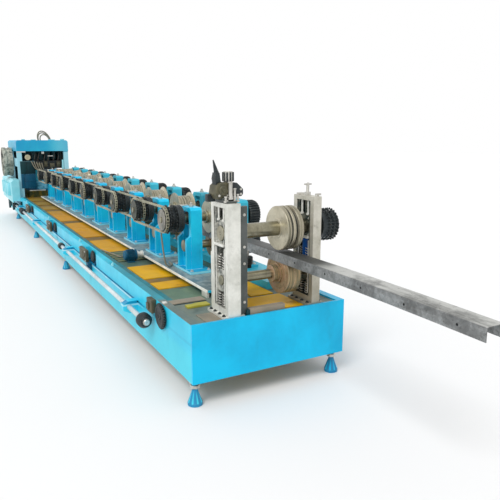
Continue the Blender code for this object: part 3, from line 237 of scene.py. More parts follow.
def enamel(name, colour, shade, worn, gloss, grime=0.5, edge=0.004, over=None):
    """Machine enamel: uneven coats, chips at the edges, grime that runs down and dust on top.
    over adds other paint to the finish: it takes the finish and its colour and returns a colour."""
    finish = Finish(name)
    patches = finish.noise(2.1, 5, 0.62)
    fine = finish.noise(38, 3)
    runs = finish.noise(7, 4, 0.55, finish.stretched((1, 1, 0.16)))
    edges = finish.edges(edge) * finish.noise(23, 4).between(0.46, 0.62)
    chips = finish.noise(31, 6, 0.7).between(0.74, 0.78)
    bare = (edges * 0.7 + chips).through("MINIMUM", 1.0)
    dirt = runs.between(0.52, 0.78) * patches.between(0.44, 0.66) * grime
    dust = finish.upward() * finish.noise(5, 5, 0.7).between(0.44, 0.70) * grime
    tone = finish.blend(patches.between(0.30, 0.72), colour, shade)
    if over:
        tone = over(finish, tone)
    tone = finish.blend(dirt * 0.8, tone, linear(44, 62, 64))
    tone = finish.blend(dust * 0.22, tone, linear(150, 160, 148))
    tone = finish.blend(bare * 0.8, tone, worn)
    rough = gloss + fine * 0.10 + dirt * 0.25 + dust * 0.25 + bare * 0.15
    ripple = finish.bump(fine + patches * 2 - bare * 2, 0.0006, 0.35)
    return finish.feed(Base_Color=tone, Roughness=rough, Metallic=bare * 0.3, Normal=ripple,
                       Specular_IOR_Level=0.22, Coat_Weight=0.04, Coat_Roughness=0.15)


def bare_metal(name, colour, shade, gloss, metal=0.85, grain=(1, 1, 1), spots=0.3, edge=0.003, over=None):
    """Bare worked metal: grain along one direction, dull stains and bright edges. over is used as
    in enamel."""
    finish = Finish(name)
    lines = finish.noise(90, 3, 0.6, finish.stretched(grain))
    cloud = finish.noise(4.5, 5, 0.65)
    stain = finish.noise(17, 6, 0.7).between(0.56, 0.74) * spots
    edges = finish.edges(edge)
    tone = finish.blend(cloud.between(0.34, 0.68), colour, shade)
    tone = finish.blend(stain, tone, linear(84, 76, 60))
    tone = finish.blend(edges * 0.45, tone, linear(232, 230, 222))
    if over:
        tone = over(finish, tone)
    rough = gloss + lines * 0.16 + stain * 0.3 - edges * 0.05
    marks = finish.bump(lines + cloud, 0.0004, 0.4)
    return finish.feed(Base_Color=tone, Roughness=rough, Metallic=metal - stain * 0.5, Normal=marks)


def turned_metal(name, colour, shade, gloss, rings, metal=0.85, oil=0.25, rim=None):
    """Turned metal: fine rings across the axis, which lies along y, and oily streaks. A rim
    colour, where given, covers what doesn't face along the axis."""
    finish = Finish(name)
    lathe = finish.noise(rings, 2, 0.5, finish.stretched((0.02, 1, 0.02)))
    cloud = finish.noise(11, 5, 0.62)
    film = finish.noise(26, 5, 0.7).between(0.50, 0.72) * oil
    edges = finish.edges(0.0025)
    tone = finish.blend(cloud.between(0.32, 0.68), colour, shade)
    if rim:
        ends = finish.facing((0, 1, 0)) + finish.facing((0, -1, 0))
        tone = finish.blend(ends, finish.blend(lathe.between(0.35, 0.65), rim, shade), tone)
    tone = finish.blend(film, tone, linear(70, 62, 44))
    tone = finish.blend(edges * 0.4, tone, linear(240, 236, 222))
    rough = gloss + lathe * 0.18 + film * 0.12
    grooves = finish.bump(lathe, 0.0005, 0.45)
    return finish.feed(Base_Color=tone, Roughness=rough, Metallic=metal - film * 0.4, Normal=grooves)


def cast_dark(name, colour, shade, gloss, oil=0.5):
    """Dark oiled iron with a sandy skin, rubbed lighter on its edges."""
    finish = Finish(name)
    skin = finish.noise(160, 3, 0.6)
    cloud = finish.noise(14, 5, 0.65)
    wet = finish.noise(9, 4).between(0.45, 0.65) * oil
    edges = finish.edges(0.003) * finish.noise(40, 4).between(0.35, 0.6)
    rust_and_gap_shade = finish.noise(28, 6, 0.7).between(0.60, 0.74)
    tone = finish.blend(cloud.between(0.32, 0.7), colour, shade)
    tone = finish.blend(rust_and_gap_shade * 0.35, tone, linear(96, 62, 38))
    tone = finish.blend(edges * 0.6, tone, linear(150, 150, 140))
    rough = gloss + skin * 0.18 - wet * 0.22 + rust_and_gap_shade * 0.2
    grit = finish.bump(skin + cloud, 0.0007, 0.45)
    return finish.feed(Base_Color=tone, Roughness=rough, Metallic=0.25 + edges * 0.5, Normal=grit)


def zinc_strip(name):
    """Zinc coated strip: faint spangle, rolling lines along x, dark smudges, a dark line in
    each bend and punched holes in the flanges."""
    finish = Finish(name)
    x, _, z = finish.spot()
    spangle = finish.flecks(62)
    tint = finish.any.node("ShaderNodeSeparateXYZ", {}, {0: spangle}, 0)
    lines = finish.noise(60, 3, 0.6, finish.stretched((0.03, 1, 1)))
    smudge = finish.noise(6.5, 6, 0.68).between(0.46, 0.66)
    speck = finish.noise(55, 5, 0.72).between(0.58, 0.68)
    streak = finish.noise(9, 5, 0.65, finish.stretched((0.12, 1, 1))).between(0.50, 0.66)
    free = x.between(0.24, 0.46)
    side = finish.blend(tint, linear(128, 130, 130), linear(156, 158, 158))
    web = finish.blend(free, linear(76, 78, 76), linear(190, 191, 187))
    tone = finish.blend(finish.upward(), side, web)
    tone = finish.blend(smudge * 0.55, tone, linear(84, 85, 84))
    tone = finish.blend(streak * 0.5, tone, linear(70, 70, 68))
    tone = finish.blend(speck * 0.6, tone, linear(58, 58, 58))
    tone = finish.blend(finish.edges(0.0035) * (1 - finish.upward()) * 0.6, tone, linear(44, 44, 46))
    along = (x - HOLE_START).through("MODULO", HOLE_PITCH) - HOLE_PITCH / 2
    drop = z + x.between(0.0, 1.6) * CHANNEL_DROOP - (WEB_TOP - FLANGE / 2)
    around = (along * along + drop * drop).through("SQRT")
    sides = finish.facing((0, 1, 0)) + finish.facing((0, -1, 0))
    hole = around.between(HOLE_RADIUS + 0.0008, HOLE_RADIUS - 0.0008) * sides
    tone = finish.blend(hole, tone, linear(16, 17, 18))
    rough = 0.36 + lines * 0.2 + smudge * 0.15
    return finish.feed(Base_Color=tone, Roughness=rough, Metallic=0.55 - speck * 0.3 - hole * 0.2,
                       Normal=finish.bump(lines + tint * 0.4, 0.0004, 0.35))


def side_paint(finish, tone):
    """The bed's near side: painted shade in a deeper blue along the groove, a painted highlight in a
    paler blue along the ledge under it, and the top edge rubbed to teal and to grey primer by the exit."""
    x, _, z = finish.spot("bed_near_side")
    inward = x.between(-0.90, -1.20)
    # Painted shade: the shadow in the groove, drawn as a deeper blue line.
    groove_shade = within(z, GROOVE_LOW - 0.003, GROOVE_LOW + 0.016) * (inward * 0.8 + 0.2)
    tone = finish.blend(groove_shade, tone, linear(0, 132, 178))
    # Painted highlight: a pale line along the ledge under the groove.
    ledge_highlight = within(z, GROOVE_LOW - 0.020, GROOVE_LOW - 0.006) * finish.noise(3, 3).between(0.35, 0.5)
    tone = finish.blend(ledge_highlight * inward * 0.6, tone, linear(226, 240, 240))
    top = finish.upward() * within(z, BED_TOP - 0.003, BED_TOP + 0.003)
    rubbed = finish.noise(6, 5, 0.65).between(0.30, 0.60)
    tone = finish.blend(top * x.between(-2.4, -1.5) * 0.8, tone,
                        finish.blend(rubbed, linear(52, 138, 152), linear(70, 122, 128)))
    tone = finish.blend(top * x.between(-0.66, -0.60), tone,
                        finish.blend(rubbed, linear(126, 130, 120), linear(98, 112, 108)))
    return finish.blend(z.between(GROOVE_LOW - 0.02, GROOVE_LOW - 0.10) * 0.5, tone, linear(70, 206, 220))


def stand_paint(finish, tone):
    """The rail under the near row: bare grey on top, a white line along its front edge that is partly the
    polished edge and partly a painted highlight, a painted highlight in pale cyan on the sides of the foot
    plates, and the foot plates' tops in a darker blue.
    """
    _, y, z = finish.spot("near_stands_exit_half")
    worn = finish.noise(12, 5, 0.65).between(0.35, 0.65)
    grey = finish.blend(worn, linear(84, 104, 112), linear(146, 156, 154))
    top = finish.upward() * within(z, RAIL_TOP - 0.003, RAIL_TOP + 0.003)
    tone = finish.blend(top, tone, grey)
    # The white line along the front edge: partly the polished edge, partly a painted highlight.
    line = y.between(RAIL_EDGE + 0.011, RAIL_EDGE + 0.007) * within(z, RAIL_TOP - 0.024, RAIL_TOP + 0.003)
    white = finish.blend(worn, linear(252, 252, 246), linear(226, 224, 212))
    tone = finish.blend(line, tone, white)
    # Painted highlight: pale cyan on the upright sides of the foot plates.
    plate = within(z, RAIL_TOP + 0.002, RAIL_TOP + 0.024) * (1 - finish.upward())
    tone = finish.blend(plate * 0.7, tone, linear(168, 232, 240))
    foot = finish.upward() * within(z, RAIL_TOP + 0.016, RAIL_TOP + 0.024)
    return finish.blend(foot * 0.55, tone, linear(0, 120, 170))


def deck_paint(finish, tone):
    """The deck: painted shade in teal along the near edge, green and then grey by the exit, and painted
    shade in brown in the gaps between the covers."""
    x, y, _ = finish.spot("deck_plate")
    cloud = finish.noise(3.5, 5, 0.62).between(0.32, 0.66)
    green = finish.blend(cloud, linear(104, 128, 104), linear(88, 112, 96))
    tone = finish.blend(x.between(-1.25, -0.95), tone, green)
    grey = finish.blend(cloud, linear(120, 128, 118), linear(96, 112, 108))
    tone = finish.blend(x.between(-0.62, -0.50), tone, grey)
    # Painted shade: brown in the gaps between the yellow covers, where the covers shade the deck.
    rust_and_gap_shade = finish.blend(cloud, linear(142, 104, 24), linear(104, 82, 24))
    stretches = within(x, -1.302, -1.148) + x.between(-2.60, -2.70)
    shaded_gaps = within(y, 0.120, 0.412) * stretches.through("MINIMUM", 1.0)
    tone = finish.blend(shaded_gaps, tone, rust_and_gap_shade)
    # Painted shade: a teal band along the deck's near edge by the exit.
    strip = y.between(0.125, 0.112) * x.between(-0.45, -0.62)
    return finish.blend(strip, tone, finish.blend(cloud, linear(40, 128, 140), linear(46, 108, 116)))


def head_paint(finish, tone):
    """The punching head: its columns have a much paler coat than the beam, which fades towards
    its far end."""
    _, y, z = finish.spot("head_frame")
    tone = finish.blend(y.between(0.55, 0.90) * 0.3, tone, linear(150, 214, 222))
    return finish.blend(z.between(1.50, 1.48) * 0.75, tone, linear(176, 222, 232))


def panel_paint(finish, tone):
    """The yellow covers: deeper and then olive towards the entry, striped drab by the motor."""
    x, _, _ = finish.spot("cover_panels")
    tone = finish.blend(x.between(-1.0, -4.0) * 0.7, tone, linear(190, 128, 0))
    stripes = (x * STRIPES).through("SINE").between(-0.2, 0.2)
    drab = finish.blend(stripes, linear(58, 78, 66), linear(108, 112, 72))
    tone = finish.blend(within(x, -2.58, -2.00), tone, drab)
    return finish.blend(x.between(-5.4, -7.4) * 0.75, tone, linear(112, 104, 44))


def near_window(finish, tone):
    """The near exit housing: grey sliding blocks and window walls in a pale frame."""
    return window(finish, tone, "exit_near_housing", linear(186, 186, 176), linear(96, 100, 96))


def far_window(finish, tone):
    """The far exit housing: dark oily blocks and window walls, and a duller frame low down."""
    _, _, z = finish.spot("exit_far_housing")
    tone = finish.blend(z.between(1.10, 0.60) * 0.6, tone, linear(150, 144, 126))
    return window(finish, tone, "exit_far_housing", linear(104, 104, 92), linear(44, 56, 52))


def window(finish, tone, node, pale, dark):
    """What lies inside a housing's window, between its two faces."""
    x, y, z = finish.spot(node)
    low, high = span(node)
    middle = AXES["exit_top_roll_spin"].x - CORNER.x
    inside = within(x, middle - 0.084, middle + 0.084, 0.001)
    inside = inside * within(y, low.y + 0.034, high.y - 0.034, 0.001)
    inside = inside * within(z, 0.618, high.z - 0.028, 0.001)
    worn = finish.noise(16, 5, 0.7).between(0.40, 0.58)
    return finish.blend(inside, tone, finish.blend(worn, pale, dark))


def bolster_paint(finish, tone):
    """The block under the punching head: deep blue beside the guard, pale blue behind the
    stands, oily low down."""
    _, y, z = finish.spot("head_bolster")
    patches = finish.noise(9, 4, 0.6).between(0.42, 0.56)
    pale = finish.blend(patches, linear(112, 186, 214), linear(44, 118, 150))
    tone = finish.blend(y.between(0.340, 0.352) * z.between(0.70, 0.74), tone, pale)
    oily = finish.blend(patches, linear(112, 96, 30), linear(62, 70, 42))
    return finish.blend(z.between(0.694, 0.688), tone, oily)


def rubber(name, colour):
    """Hose rubber with a cloth weave under its skin and scuffs."""
    finish = Finish(name)
    weave = finish.any.node("ShaderNodeTexWave", {"bands_direction": "DIAGONAL"}, {
        "Vector": finish.place, "Scale": 60, "Distortion": 1.5,
    }, 1)
    scuff = finish.noise(20, 5, 0.7).between(0.52, 0.70)
    tone = finish.blend(scuff * 0.5, colour, linear(96, 92, 84))
    return finish.feed(Base_Color=tone, Roughness=0.45 + scuff * 0.3,
                       Normal=finish.bump(weave, 0.0006, 0.3))


# Named places that the finishes use
RAIL_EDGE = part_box("near_stands_exit_half")[0].y - CORNER.y
RAIL_TOP = 0.620
GROOVE_LOW = 0.430
WEB_TOP = 0.950
FLANGE = 0.070
CHANNEL_DROOP = 0.025
HOLE_START = -8
HOLE_PITCH = 0.330
HOLE_RADIUS = 0.007
STRIPES = 62

PALE_CHIP = linear(150, 196, 206)
CYAN = enamel("cyan_enamel", linear(8, 192, 236), linear(4, 168, 214), PALE_CHIP, 0.26, 0.4)
# A paler, less saturated copy of the cyan enamel for the bed's near side: partly painted sheen of the light
# on that side.
CYAN_SIDE_LIT = enamel("lit_cyan_enamel_on_side", linear(60, 206, 234), linear(34, 184, 216), PALE_CHIP, 0.30,
                   0.6, over=side_paint)
CYAN_HEAD = enamel("cyan_enamel_on_head", linear(40, 178, 210), linear(34, 156, 200), PALE_CHIP, 0.34,
                   0.9, over=head_paint)
CYAN_PALE = enamel("pale_cyan_enamel", linear(160, 224, 234), linear(122, 206, 218), PALE_CHIP, 0.34,
                   1.0)
CYAN_WORN = enamel("cyan_enamel_on_stands", linear(34, 208, 244), linear(12, 172, 222), PALE_CHIP, 0.28,
                   0.7, 0.003, over=stand_paint)
CYAN_FAR = enamel("cyan_enamel_on_far_stands", linear(72, 196, 220), linear(44, 164, 190), PALE_CHIP, 0.34,
                  0.8, 0.003)
DARK_BLUE = enamel("dark_blue_enamel", linear(18, 92, 122), linear(8, 66, 92), linear(90, 120, 130), 0.32,
                   0.6, 0.003)
BLUE_GREEN = enamel("blue_green_enamel", linear(16, 62, 66), linear(10, 40, 46), linear(70, 96, 96), 0.4,
                    0.6, 0.003)
FOOT_BLUE = enamel("foot_enamel", linear(44, 148, 192), linear(26, 118, 164), PALE_CHIP, 0.32, 0.5, 0.003)
YELLOW = enamel("mustard_enamel", linear(226, 176, 0), linear(206, 152, 0), linear(150, 112, 30), 0.46,
                0.4, over=panel_paint)
OLIVE_BAR = enamel("olive_enamel", linear(186, 178, 62), linear(158, 152, 60), linear(150, 146, 100),
                   0.4, 0.6)
DECK = enamel("deck_paint", linear(70, 104, 96), linear(84, 98, 84), linear(130, 140, 128), 0.42, 0.9,
              over=deck_paint)
RAIL_GREY = enamel("grey_plate", linear(150, 138, 122), linear(124, 118, 102), linear(206, 200, 186),
                   0.4, 0.8)
HOUSING_WHITE = bare_metal("white_plated_housing", linear(232, 232, 225), linear(196, 197, 188), 0.34, 0.30,
                           (1, 1, 0.05), 0.25, over=near_window)
HOUSING_GREY = bare_metal("grey_plated_housing", linear(210, 207, 196), linear(170, 167, 152), 0.36, 0.35,
                          (1, 1, 0.05), 0.5, over=far_window)
WHITE_STEEL = bare_metal("white_plated_plate", linear(238, 238, 232), linear(206, 206, 198), 0.32, 0.35,
                         (1, 1, 0.05), 0.25)
SILVER = bare_metal("plated_plate", linear(232, 231, 224), linear(198, 196, 186), 0.34, 0.45,
                    (1, 1, 0.05), 0.4)
DIM_STEEL = bare_metal("dim_plate", linear(96, 100, 98), linear(70, 76, 74), 0.42, 0.5, (1, 1, 0.05), 0.5)
SHAFT = turned_metal("ground_shaft", linear(158, 154, 134), linear(128, 124, 104), 0.22, 190, 0.95, 0.35)
ROLL = turned_metal("roll_steel", linear(210, 203, 182), linear(184, 176, 154), 0.30, 240, 0.6, 0.35,
                    linear(104, 102, 84))
ROLL_PINK = turned_metal("lower_roll_steel", linear(196, 160, 132), linear(172, 148, 110), 0.32, 240,
                         0.6, 0.5, linear(92, 92, 70))
DRUM_FACE = turned_metal("drum_end_steel", linear(150, 146, 138), linear(96, 100, 94), 0.38, 160, 0.5, 0.9)
DRUM_FACE_DARK = turned_metal("dark_drum_end", linear(78, 82, 74), linear(42, 50, 46), 0.42, 160, 0.4, 0.9)
WHEEL_IRON = cast_dark("wheel_iron", linear(184, 186, 172), linear(76, 84, 76), 0.5, 0.3)
BOLSTER = enamel("bolster_enamel", linear(16, 84, 120), linear(8, 62, 92), linear(90, 120, 130), 0.36,
                 0.5, 0.003, over=bolster_paint)
CHAIN = bare_metal("chain_steel", linear(178, 174, 150), linear(126, 126, 106), 0.36, 0.6, (1, 1, 1),
                   0.5, 0.002)
DARK = cast_dark("oiled_iron", linear(44, 52, 54), linear(26, 34, 38), 0.42)
OLIVE_IRON = cast_dark("olive_iron", linear(96, 92, 70), linear(66, 66, 52), 0.46, 0.3)
BRIGHT = bare_metal("bright_fittings", linear(210, 208, 202), linear(172, 170, 162), 0.28, 0.7,
                    (1, 1, 1), 0.3, 0.002)
SHAFT_WHITE = bare_metal("chromed_shaft", linear(222, 228, 228), linear(190, 198, 200), 0.22, 0.5,
                         (0.05, 1, 1), 0.15, 0.002)
CREAM = enamel("cream_enamel", linear(206, 198, 168), linear(178, 170, 142), linear(120, 116, 104), 0.4,
               0.9, 0.003)
PLASTIC_BLUE = enamel("blue_spacer", linear(20, 92, 176), linear(12, 66, 140), linear(70, 120, 170), 0.3,
                      0.4, 0.002)
ZINC = zinc_strip("zinc_strip")
HOSE = rubber("hose_rubber", linear(52, 50, 46))
HOSE_GREY = rubber("grey_hose", linear(132, 126, 108))


def dress(node, material):
    """Gives a CAD node its finish."""
    piece = frame["nodes"][node]
    piece.data.materials.clear()
    piece.data.materials.append(material)


class Shape:
    """Solids, points and paths gathered one after the other in one mesh. Every place is given
    from the machine's own corner."""

    def __init__(self):
        self.mesh = bmesh.new()

    def _placed(self, part, matrix):
        bmesh.ops.transform(part, matrix=matrix, verts=part.verts)
        bmesh.ops.recalc_face_normals(part, faces=part.faces)
        holder = bpy.data.meshes.new("part")
        part.to_mesh(holder)
        part.free()
        self.mesh.from_mesh(holder)
        bpy.data.meshes.remove(holder)
        return self

    def box(self, low, high, bevel=0.002, turn=None):
        """A block between two corners, with eased edges."""
        low, high = Vector(low), Vector(high)
        part = bmesh.new()
        bmesh.ops.create_cube(part, size=1)
        bmesh.ops.scale(part, vec=high - low, verts=part.verts)
        if bevel:
            bmesh.ops.bevel(part, geom=part.edges[:], offset=min(bevel, min(high - low) * 0.3),
                            segments=2, profile=0.6, affect="EDGES")
        middle = Matrix.Translation(CORNER + (low + high) / 2)
        return self._placed(part, middle @ turn.to_4x4() if turn else middle)

    def turned(self, profile, place, axis="Y", sides=36, lean=None):
        """A turned solid. Profile rows are (distance along the axis, radius)."""
        part = bmesh.new()
        points = [part.verts.new((max(radius, 0.00001), 0, along)) for along, radius in profile]
        edges = [part.edges.new(pair) for pair in zip(points, points[1:])]
        bmesh.ops.spin(part, geom=points + edges, cent=(0, 0, 0), axis=(0, 0, 1),
                       angle=math.tau, steps=sides, use_merge=True)
        bmesh.ops.remove_doubles(part, verts=part.verts, dist=0.0001)
        rims = [edge for edge in part.edges if edge.is_boundary]
        if rims:
            bmesh.ops.holes_fill(part, edges=rims, sides=0)
        way = {
            "X": Matrix.Rotation(math.pi / 2, 4, "Y"),
            "Y": Matrix.Rotation(-math.pi / 2, 4, "X"),
            "Z": Matrix.Identity(4),
        }[axis]
        if lean is not None:
            way = lean.to_4x4()
        return self._placed(part, Matrix.Translation(CORNER + Vector(place)) @ way)

    def prism(self, outline, axis, start, end, bevel=0.0):
        """An outline pushed along an axis: X takes (y, z) points, Y takes (x, z), Z takes (x, y)."""
        place = {
            "X": lambda a, b, t: (t, a, b),
            "Y": lambda a, b, t: (a, t, b),
            "Z": lambda a, b, t: (a, b, t),
        }[axis]
        part = bmesh.new()
        face = part.faces.new([part.verts.new(place(a, b, start)) for a, b in outline])
        pushed = bmesh.ops.extrude_face_region(part, geom=[face])
        moved = [item for item in pushed["geom"] if isinstance(item, bmesh.types.BMVert)]
        bmesh.ops.translate(part, vec=Vector(place(0, 0, end)) - Vector(place(0, 0, start)), verts=moved)
        if bevel:
            bmesh.ops.bevel(part, geom=part.edges[:], offset=bevel, segments=2, profile=0.6, affect="EDGES")
        return self._placed(part, Matrix.Translation(CORNER))

    def points(self, places, facing):
        """Loose points for fittings, each with the direction it faces."""
        layers = self.mesh.verts.layers.float_vector
        layer = layers.get("facing") or layers.new("facing")
        for place in places:
            self.mesh.verts.new(CORNER + Vector(place))[layer] = facing
        return self

    def line(self, places, closed=False):
        """A run of edges for a path."""
        rows = [self.mesh.verts.new(CORNER + Vector(place)) for place in places]
        for pair in zip(rows, rows[1:] + rows[:1] if closed else rows[1:]):
            self.mesh.edges.new(pair)
        return self

    def object(self):
        """The gathered mesh as an object of the scene."""
        mesh = bpy.data.meshes.new("shape")
        self.mesh.to_mesh(mesh)
        self.mesh.free()
        made = bpy.data.objects.new("shape", mesh)
        bpy.context.scene.collection.objects.link(made)
        return made


def smooth(piece, angle=35):
    """Shades a piece smooth except over edges sharper than the angle."""
    mesh = piece.data
    mesh.polygons.foreach_set("use_smooth", [True] * len(mesh.polygons))
    shape = bmesh.new()
    shape.from_mesh(mesh)
    for edge in shape.edges:
        edge.smooth = len(edge.link_faces) == 2 and edge.calc_face_angle(0) < math.radians(angle)
    shape.to_mesh(mesh)
    shape.free()
    return piece


def keep(piece, name, material=None, body="machine_frame", instead=()):
    """Names a finished piece, gives it its finish and hands it to the frame."""
    if isinstance(piece, Shape):
        piece = piece.object()
    piece.name = name
    piece.data.name = name
    if material:
        piece.data.materials.clear()
        piece.data.materials.append(material)
    smooth(piece)
    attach(piece, body)
    if instead:
        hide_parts(*instead)
    return piece


# Geometry Nodes trees
NUMBER, WHOLE, PLACE, STUFF = (
    "NodeSocketFloat", "NodeSocketInt", "NodeSocketVector", "NodeSocketMaterial"
)


def new_tree(name, **sizes):
    """A tree with a geometry input and named inputs, whose wires come back by name."""
    tree = bpy.data.node_groups.new(name, "GeometryNodeTree")
    tree.interface.new_socket("Geometry", in_out="INPUT", socket_type="NodeSocketGeometry")
    for label, kind in {**sizes, "material": STUFF}.items():
        tree.interface.new_socket(label, in_out="INPUT", socket_type=kind)
    tree.interface.new_socket("Geometry", in_out="OUTPUT", socket_type="NodeSocketGeometry")
    start = tree.nodes.new("NodeGroupInput")
    return tree, {socket.name: Wire(tree, socket) for socket in start.outputs if socket.name}


def end_tree(tree, shape, material):
    """Ends a tree in Realize Instances and Set Material."""
    solid = shape.node("GeometryNodeRealizeInstances", {}, {0: shape})
    painted = shape.node("GeometryNodeSetMaterial", {}, {"Geometry": solid, "Material": material})
    end = tree.nodes.new("NodeGroupOutput")
    tree.links.new(painted.socket, end.inputs[0])
    return tree


def together(*shapes):
    """Several geometries joined."""
    join = shapes[0].tree.nodes.new("GeometryNodeJoinGeometry")
    for shape in shapes:
        shape.tree.links.new(shape.socket, join.inputs[0])
    return Wire(shapes[0].tree, join.outputs[0])


def vector(x, y, z):
    """A vector wire from numbers or wires."""
    any_wire = next(value for value in (x, y, z) if isinstance(value, Wire))
    return any_wire.node("ShaderNodeCombineXYZ", {}, {0: x, 1: y, 2: z})


def moved(shape, **sockets):
    """A geometry turned, stretched or shifted."""
    return shape.node("GeometryNodeTransform", {}, {"Geometry": shape, **sockets})


def grown(base, tree, /, **values):
    """A tree's result on a shape or an object, as a plain mesh object."""
    if isinstance(base, Shape):
        base = base.object()
    step = base.modifiers.new("grow", "NODES")
    step.node_group = tree
    for item in tree.interface.items_tree:
        if item.in_out == "INPUT" and item.name in values:
            step[item.identifier] = values[item.name]
    graph = bpy.context.evaluated_depsgraph_get()
    mesh = bpy.data.meshes.new_from_object(base.evaluated_get(graph))
    bpy.data.objects.remove(base, do_unlink=True)
    made = bpy.data.objects.new("grown", mesh)
    bpy.context.scene.collection.objects.link(made)
    return made


def link_tree():
    """Roller chain along a closed path in a plane across y: outer and inner links in turn."""
    tree, size = new_tree("roller_chain", links=WHOLE, pitch=NUMBER, plate=NUMBER,
                          thick=NUMBER, width=NUMBER, roller=NUMBER)
    any_wire = size["Geometry"]
    curve = any_wire.node("GeometryNodeMeshToCurve", {}, {0: size["Geometry"]})
    even = any_wire.node("GeometryNodeResampleCurve", {}, {"Curve": curve, "Count": size["links"]})
    plate = any_wire.node("GeometryNodeMeshCylinder", {}, {
        "Vertices": 10, "Radius": size["plate"] / 2, "Depth": size["thick"],
    })
    long = (size["pitch"] + size["plate"]) / size["plate"]
    plate = moved(plate, Rotation=(math.pi / 2, 0, 0))
    plate = moved(plate, Scale=vector(long, 1, 0.96))
    roller = any_wire.node("GeometryNodeMeshCylinder", {}, {
        "Vertices": 8, "Radius": size["roller"], "Depth": size["width"] * 0.5,
    })
    roller = moved(roller, Rotation=(math.pi / 2, 0, 0), Translation=vector(size["pitch"] / 2, 0, 0))
    pin = any_wire.node("GeometryNodeMeshCylinder", {}, {
        "Vertices": 6, "Radius": size["roller"] * 0.5, "Depth": size["width"],
    })
    pin = moved(pin, Rotation=(math.pi / 2, 0, 0), Translation=vector(size["pitch"] / 2, 0, 0))
    kinds = []
    for share in (0.41, 0.29):
        reach = size["width"] * share
        kinds.append(together(
            moved(plate, Translation=vector(0, reach, 0)),
            moved(plate, Translation=vector(0, 0 - reach, 0)),
            roller, pin,
        ))
    along = any_wire.node("GeometryNodeInputTangent")
    x = any_wire.node("ShaderNodeSeparateXYZ", {}, {0: along}, 0)
    z = any_wire.node("ShaderNodeSeparateXYZ", {}, {0: along}, 2)
    turn = vector(0, 0 - z.through("ARCTAN2", x), 0)
    odd = any_wire.node("GeometryNodeInputIndex").through("MODULO", 2)
    rows = []
    for choice, kind in ((odd, kinds[0]), (1 - odd, kinds[1])):
        rows.append(any_wire.node("GeometryNodeInstanceOnPoints", {}, {
            "Points": even, "Selection": choice, "Instance": kind, "Rotation": turn,
        }))
    return end_tree(tree, together(*rows), size["material"])


def tooth_tree():
    """Rings of teeth about an axis along y, added to the drum that they stand on."""
    tree, size = new_tree("ring_of_teeth", place=PLACE, rows=WHOLE, step=NUMBER, teeth=WHOLE,
                          root=NUMBER, rise=NUMBER, base=NUMBER, tip=NUMBER, width=NUMBER, phase=NUMBER)
    any_wire = size["Geometry"]
    corner = math.sqrt(0.5)
    tooth = any_wire.node("GeometryNodeMeshCone", {}, {
        "Vertices": 4, "Radius Top": size["tip"] * corner, "Radius Bottom": size["base"] * corner,
        "Depth": size["rise"],
    })
    tooth = moved(tooth, Rotation=(0, 0, math.pi / 4))
    tooth = moved(tooth, Scale=vector(1, size["width"] / size["base"], 1),
                  Translation=vector(0, 0, size["root"]))
    spots = any_wire.node("GeometryNodeMeshLine", {}, {"Count": size["teeth"], "Offset": (0, 0, 0)})
    index = any_wire.node("GeometryNodeInputIndex")
    turn = vector(0, (index + size["phase"]) * math.tau / size["teeth"], 0)
    ring = any_wire.node("GeometryNodeInstanceOnPoints", {}, {
        "Points": spots, "Instance": tooth, "Rotation": turn,
    })
    places = any_wire.node("GeometryNodeMeshLine", {}, {
        "Count": size["rows"], "Start Location": size["place"], "Offset": vector(0, size["step"], 0),
    })
    rings = any_wire.node("GeometryNodeInstanceOnPoints", {}, {"Points": places, "Instance": ring})
    return end_tree(tree, together(size["Geometry"], rings), size["material"])


def facing_turn(any_wire):
    """The turn that points a fitting's own z the way that its point faces."""
    way = any_wire.node("GeometryNodeInputNamedAttribute", {"data_type": "FLOAT_VECTOR"}, {"Name": "facing"})
    return any_wire.node("FunctionNodeAlignRotationToVector", {"axis": "Z"}, {"Vector": way})


def bolt_tree():
    """A bolt on each point: washer, six sided head and the end of the thread."""
    tree, size = new_tree("bolts", head=NUMBER, rise=NUMBER, washer=NUMBER, thread=NUMBER)
    any_wire = size["Geometry"]
    washer = any_wire.node("GeometryNodeMeshCylinder", {}, {
        "Vertices": 20, "Radius": size["washer"], "Depth": size["rise"] * 0.25,
    })
    washer = moved(washer, Translation=vector(0, 0, size["rise"] * 0.12))
    head = any_wire.node("GeometryNodeMeshCone", {}, {
        "Vertices": 6, "Radius Top": size["head"] * 0.96, "Radius Bottom": size["head"],
        "Depth": size["rise"],
    })
    stud = any_wire.node("GeometryNodeMeshCone", {}, {
        "Vertices": 14, "Radius Top": size["head"] * 0.42, "Radius Bottom": size["head"] * 0.5,
        "Depth": size["thread"],
    })
    bolt = together(washer, moved(head, Translation=vector(0, 0, size["rise"] * 0.2)), stud)
    placed = any_wire.node("GeometryNodeInstanceOnPoints", {}, {
        "Points": size["Geometry"], "Instance": bolt, "Rotation": facing_turn(any_wire),
    })
    return end_tree(tree, placed, size["material"])


def coil_tree():
    """A coil of round wire on each point: a spring, or with a fine pitch a thread."""
    tree, size = new_tree("coils", turns=NUMBER, radius=NUMBER, height=NUMBER, wire=NUMBER)
    any_wire = size["Geometry"]
    spiral = any_wire.node("GeometryNodeCurveSpiral", {}, {
        "Resolution": 20, "Rotations": size["turns"], "Start Radius": size["radius"],
        "End Radius": size["radius"], "Height": size["height"],
    })
    ring = any_wire.node("GeometryNodeCurvePrimitiveCircle", {}, {"Resolution": 8, "Radius": size["wire"]})
    coil = any_wire.node("GeometryNodeCurveToMesh", {}, {0: spiral, 1: ring, "Fill Caps": True})
    placed = any_wire.node("GeometryNodeInstanceOnPoints", {}, {
        "Points": size["Geometry"], "Instance": coil, "Rotation": facing_turn(any_wire),
    })
    return end_tree(tree, placed, size["material"])


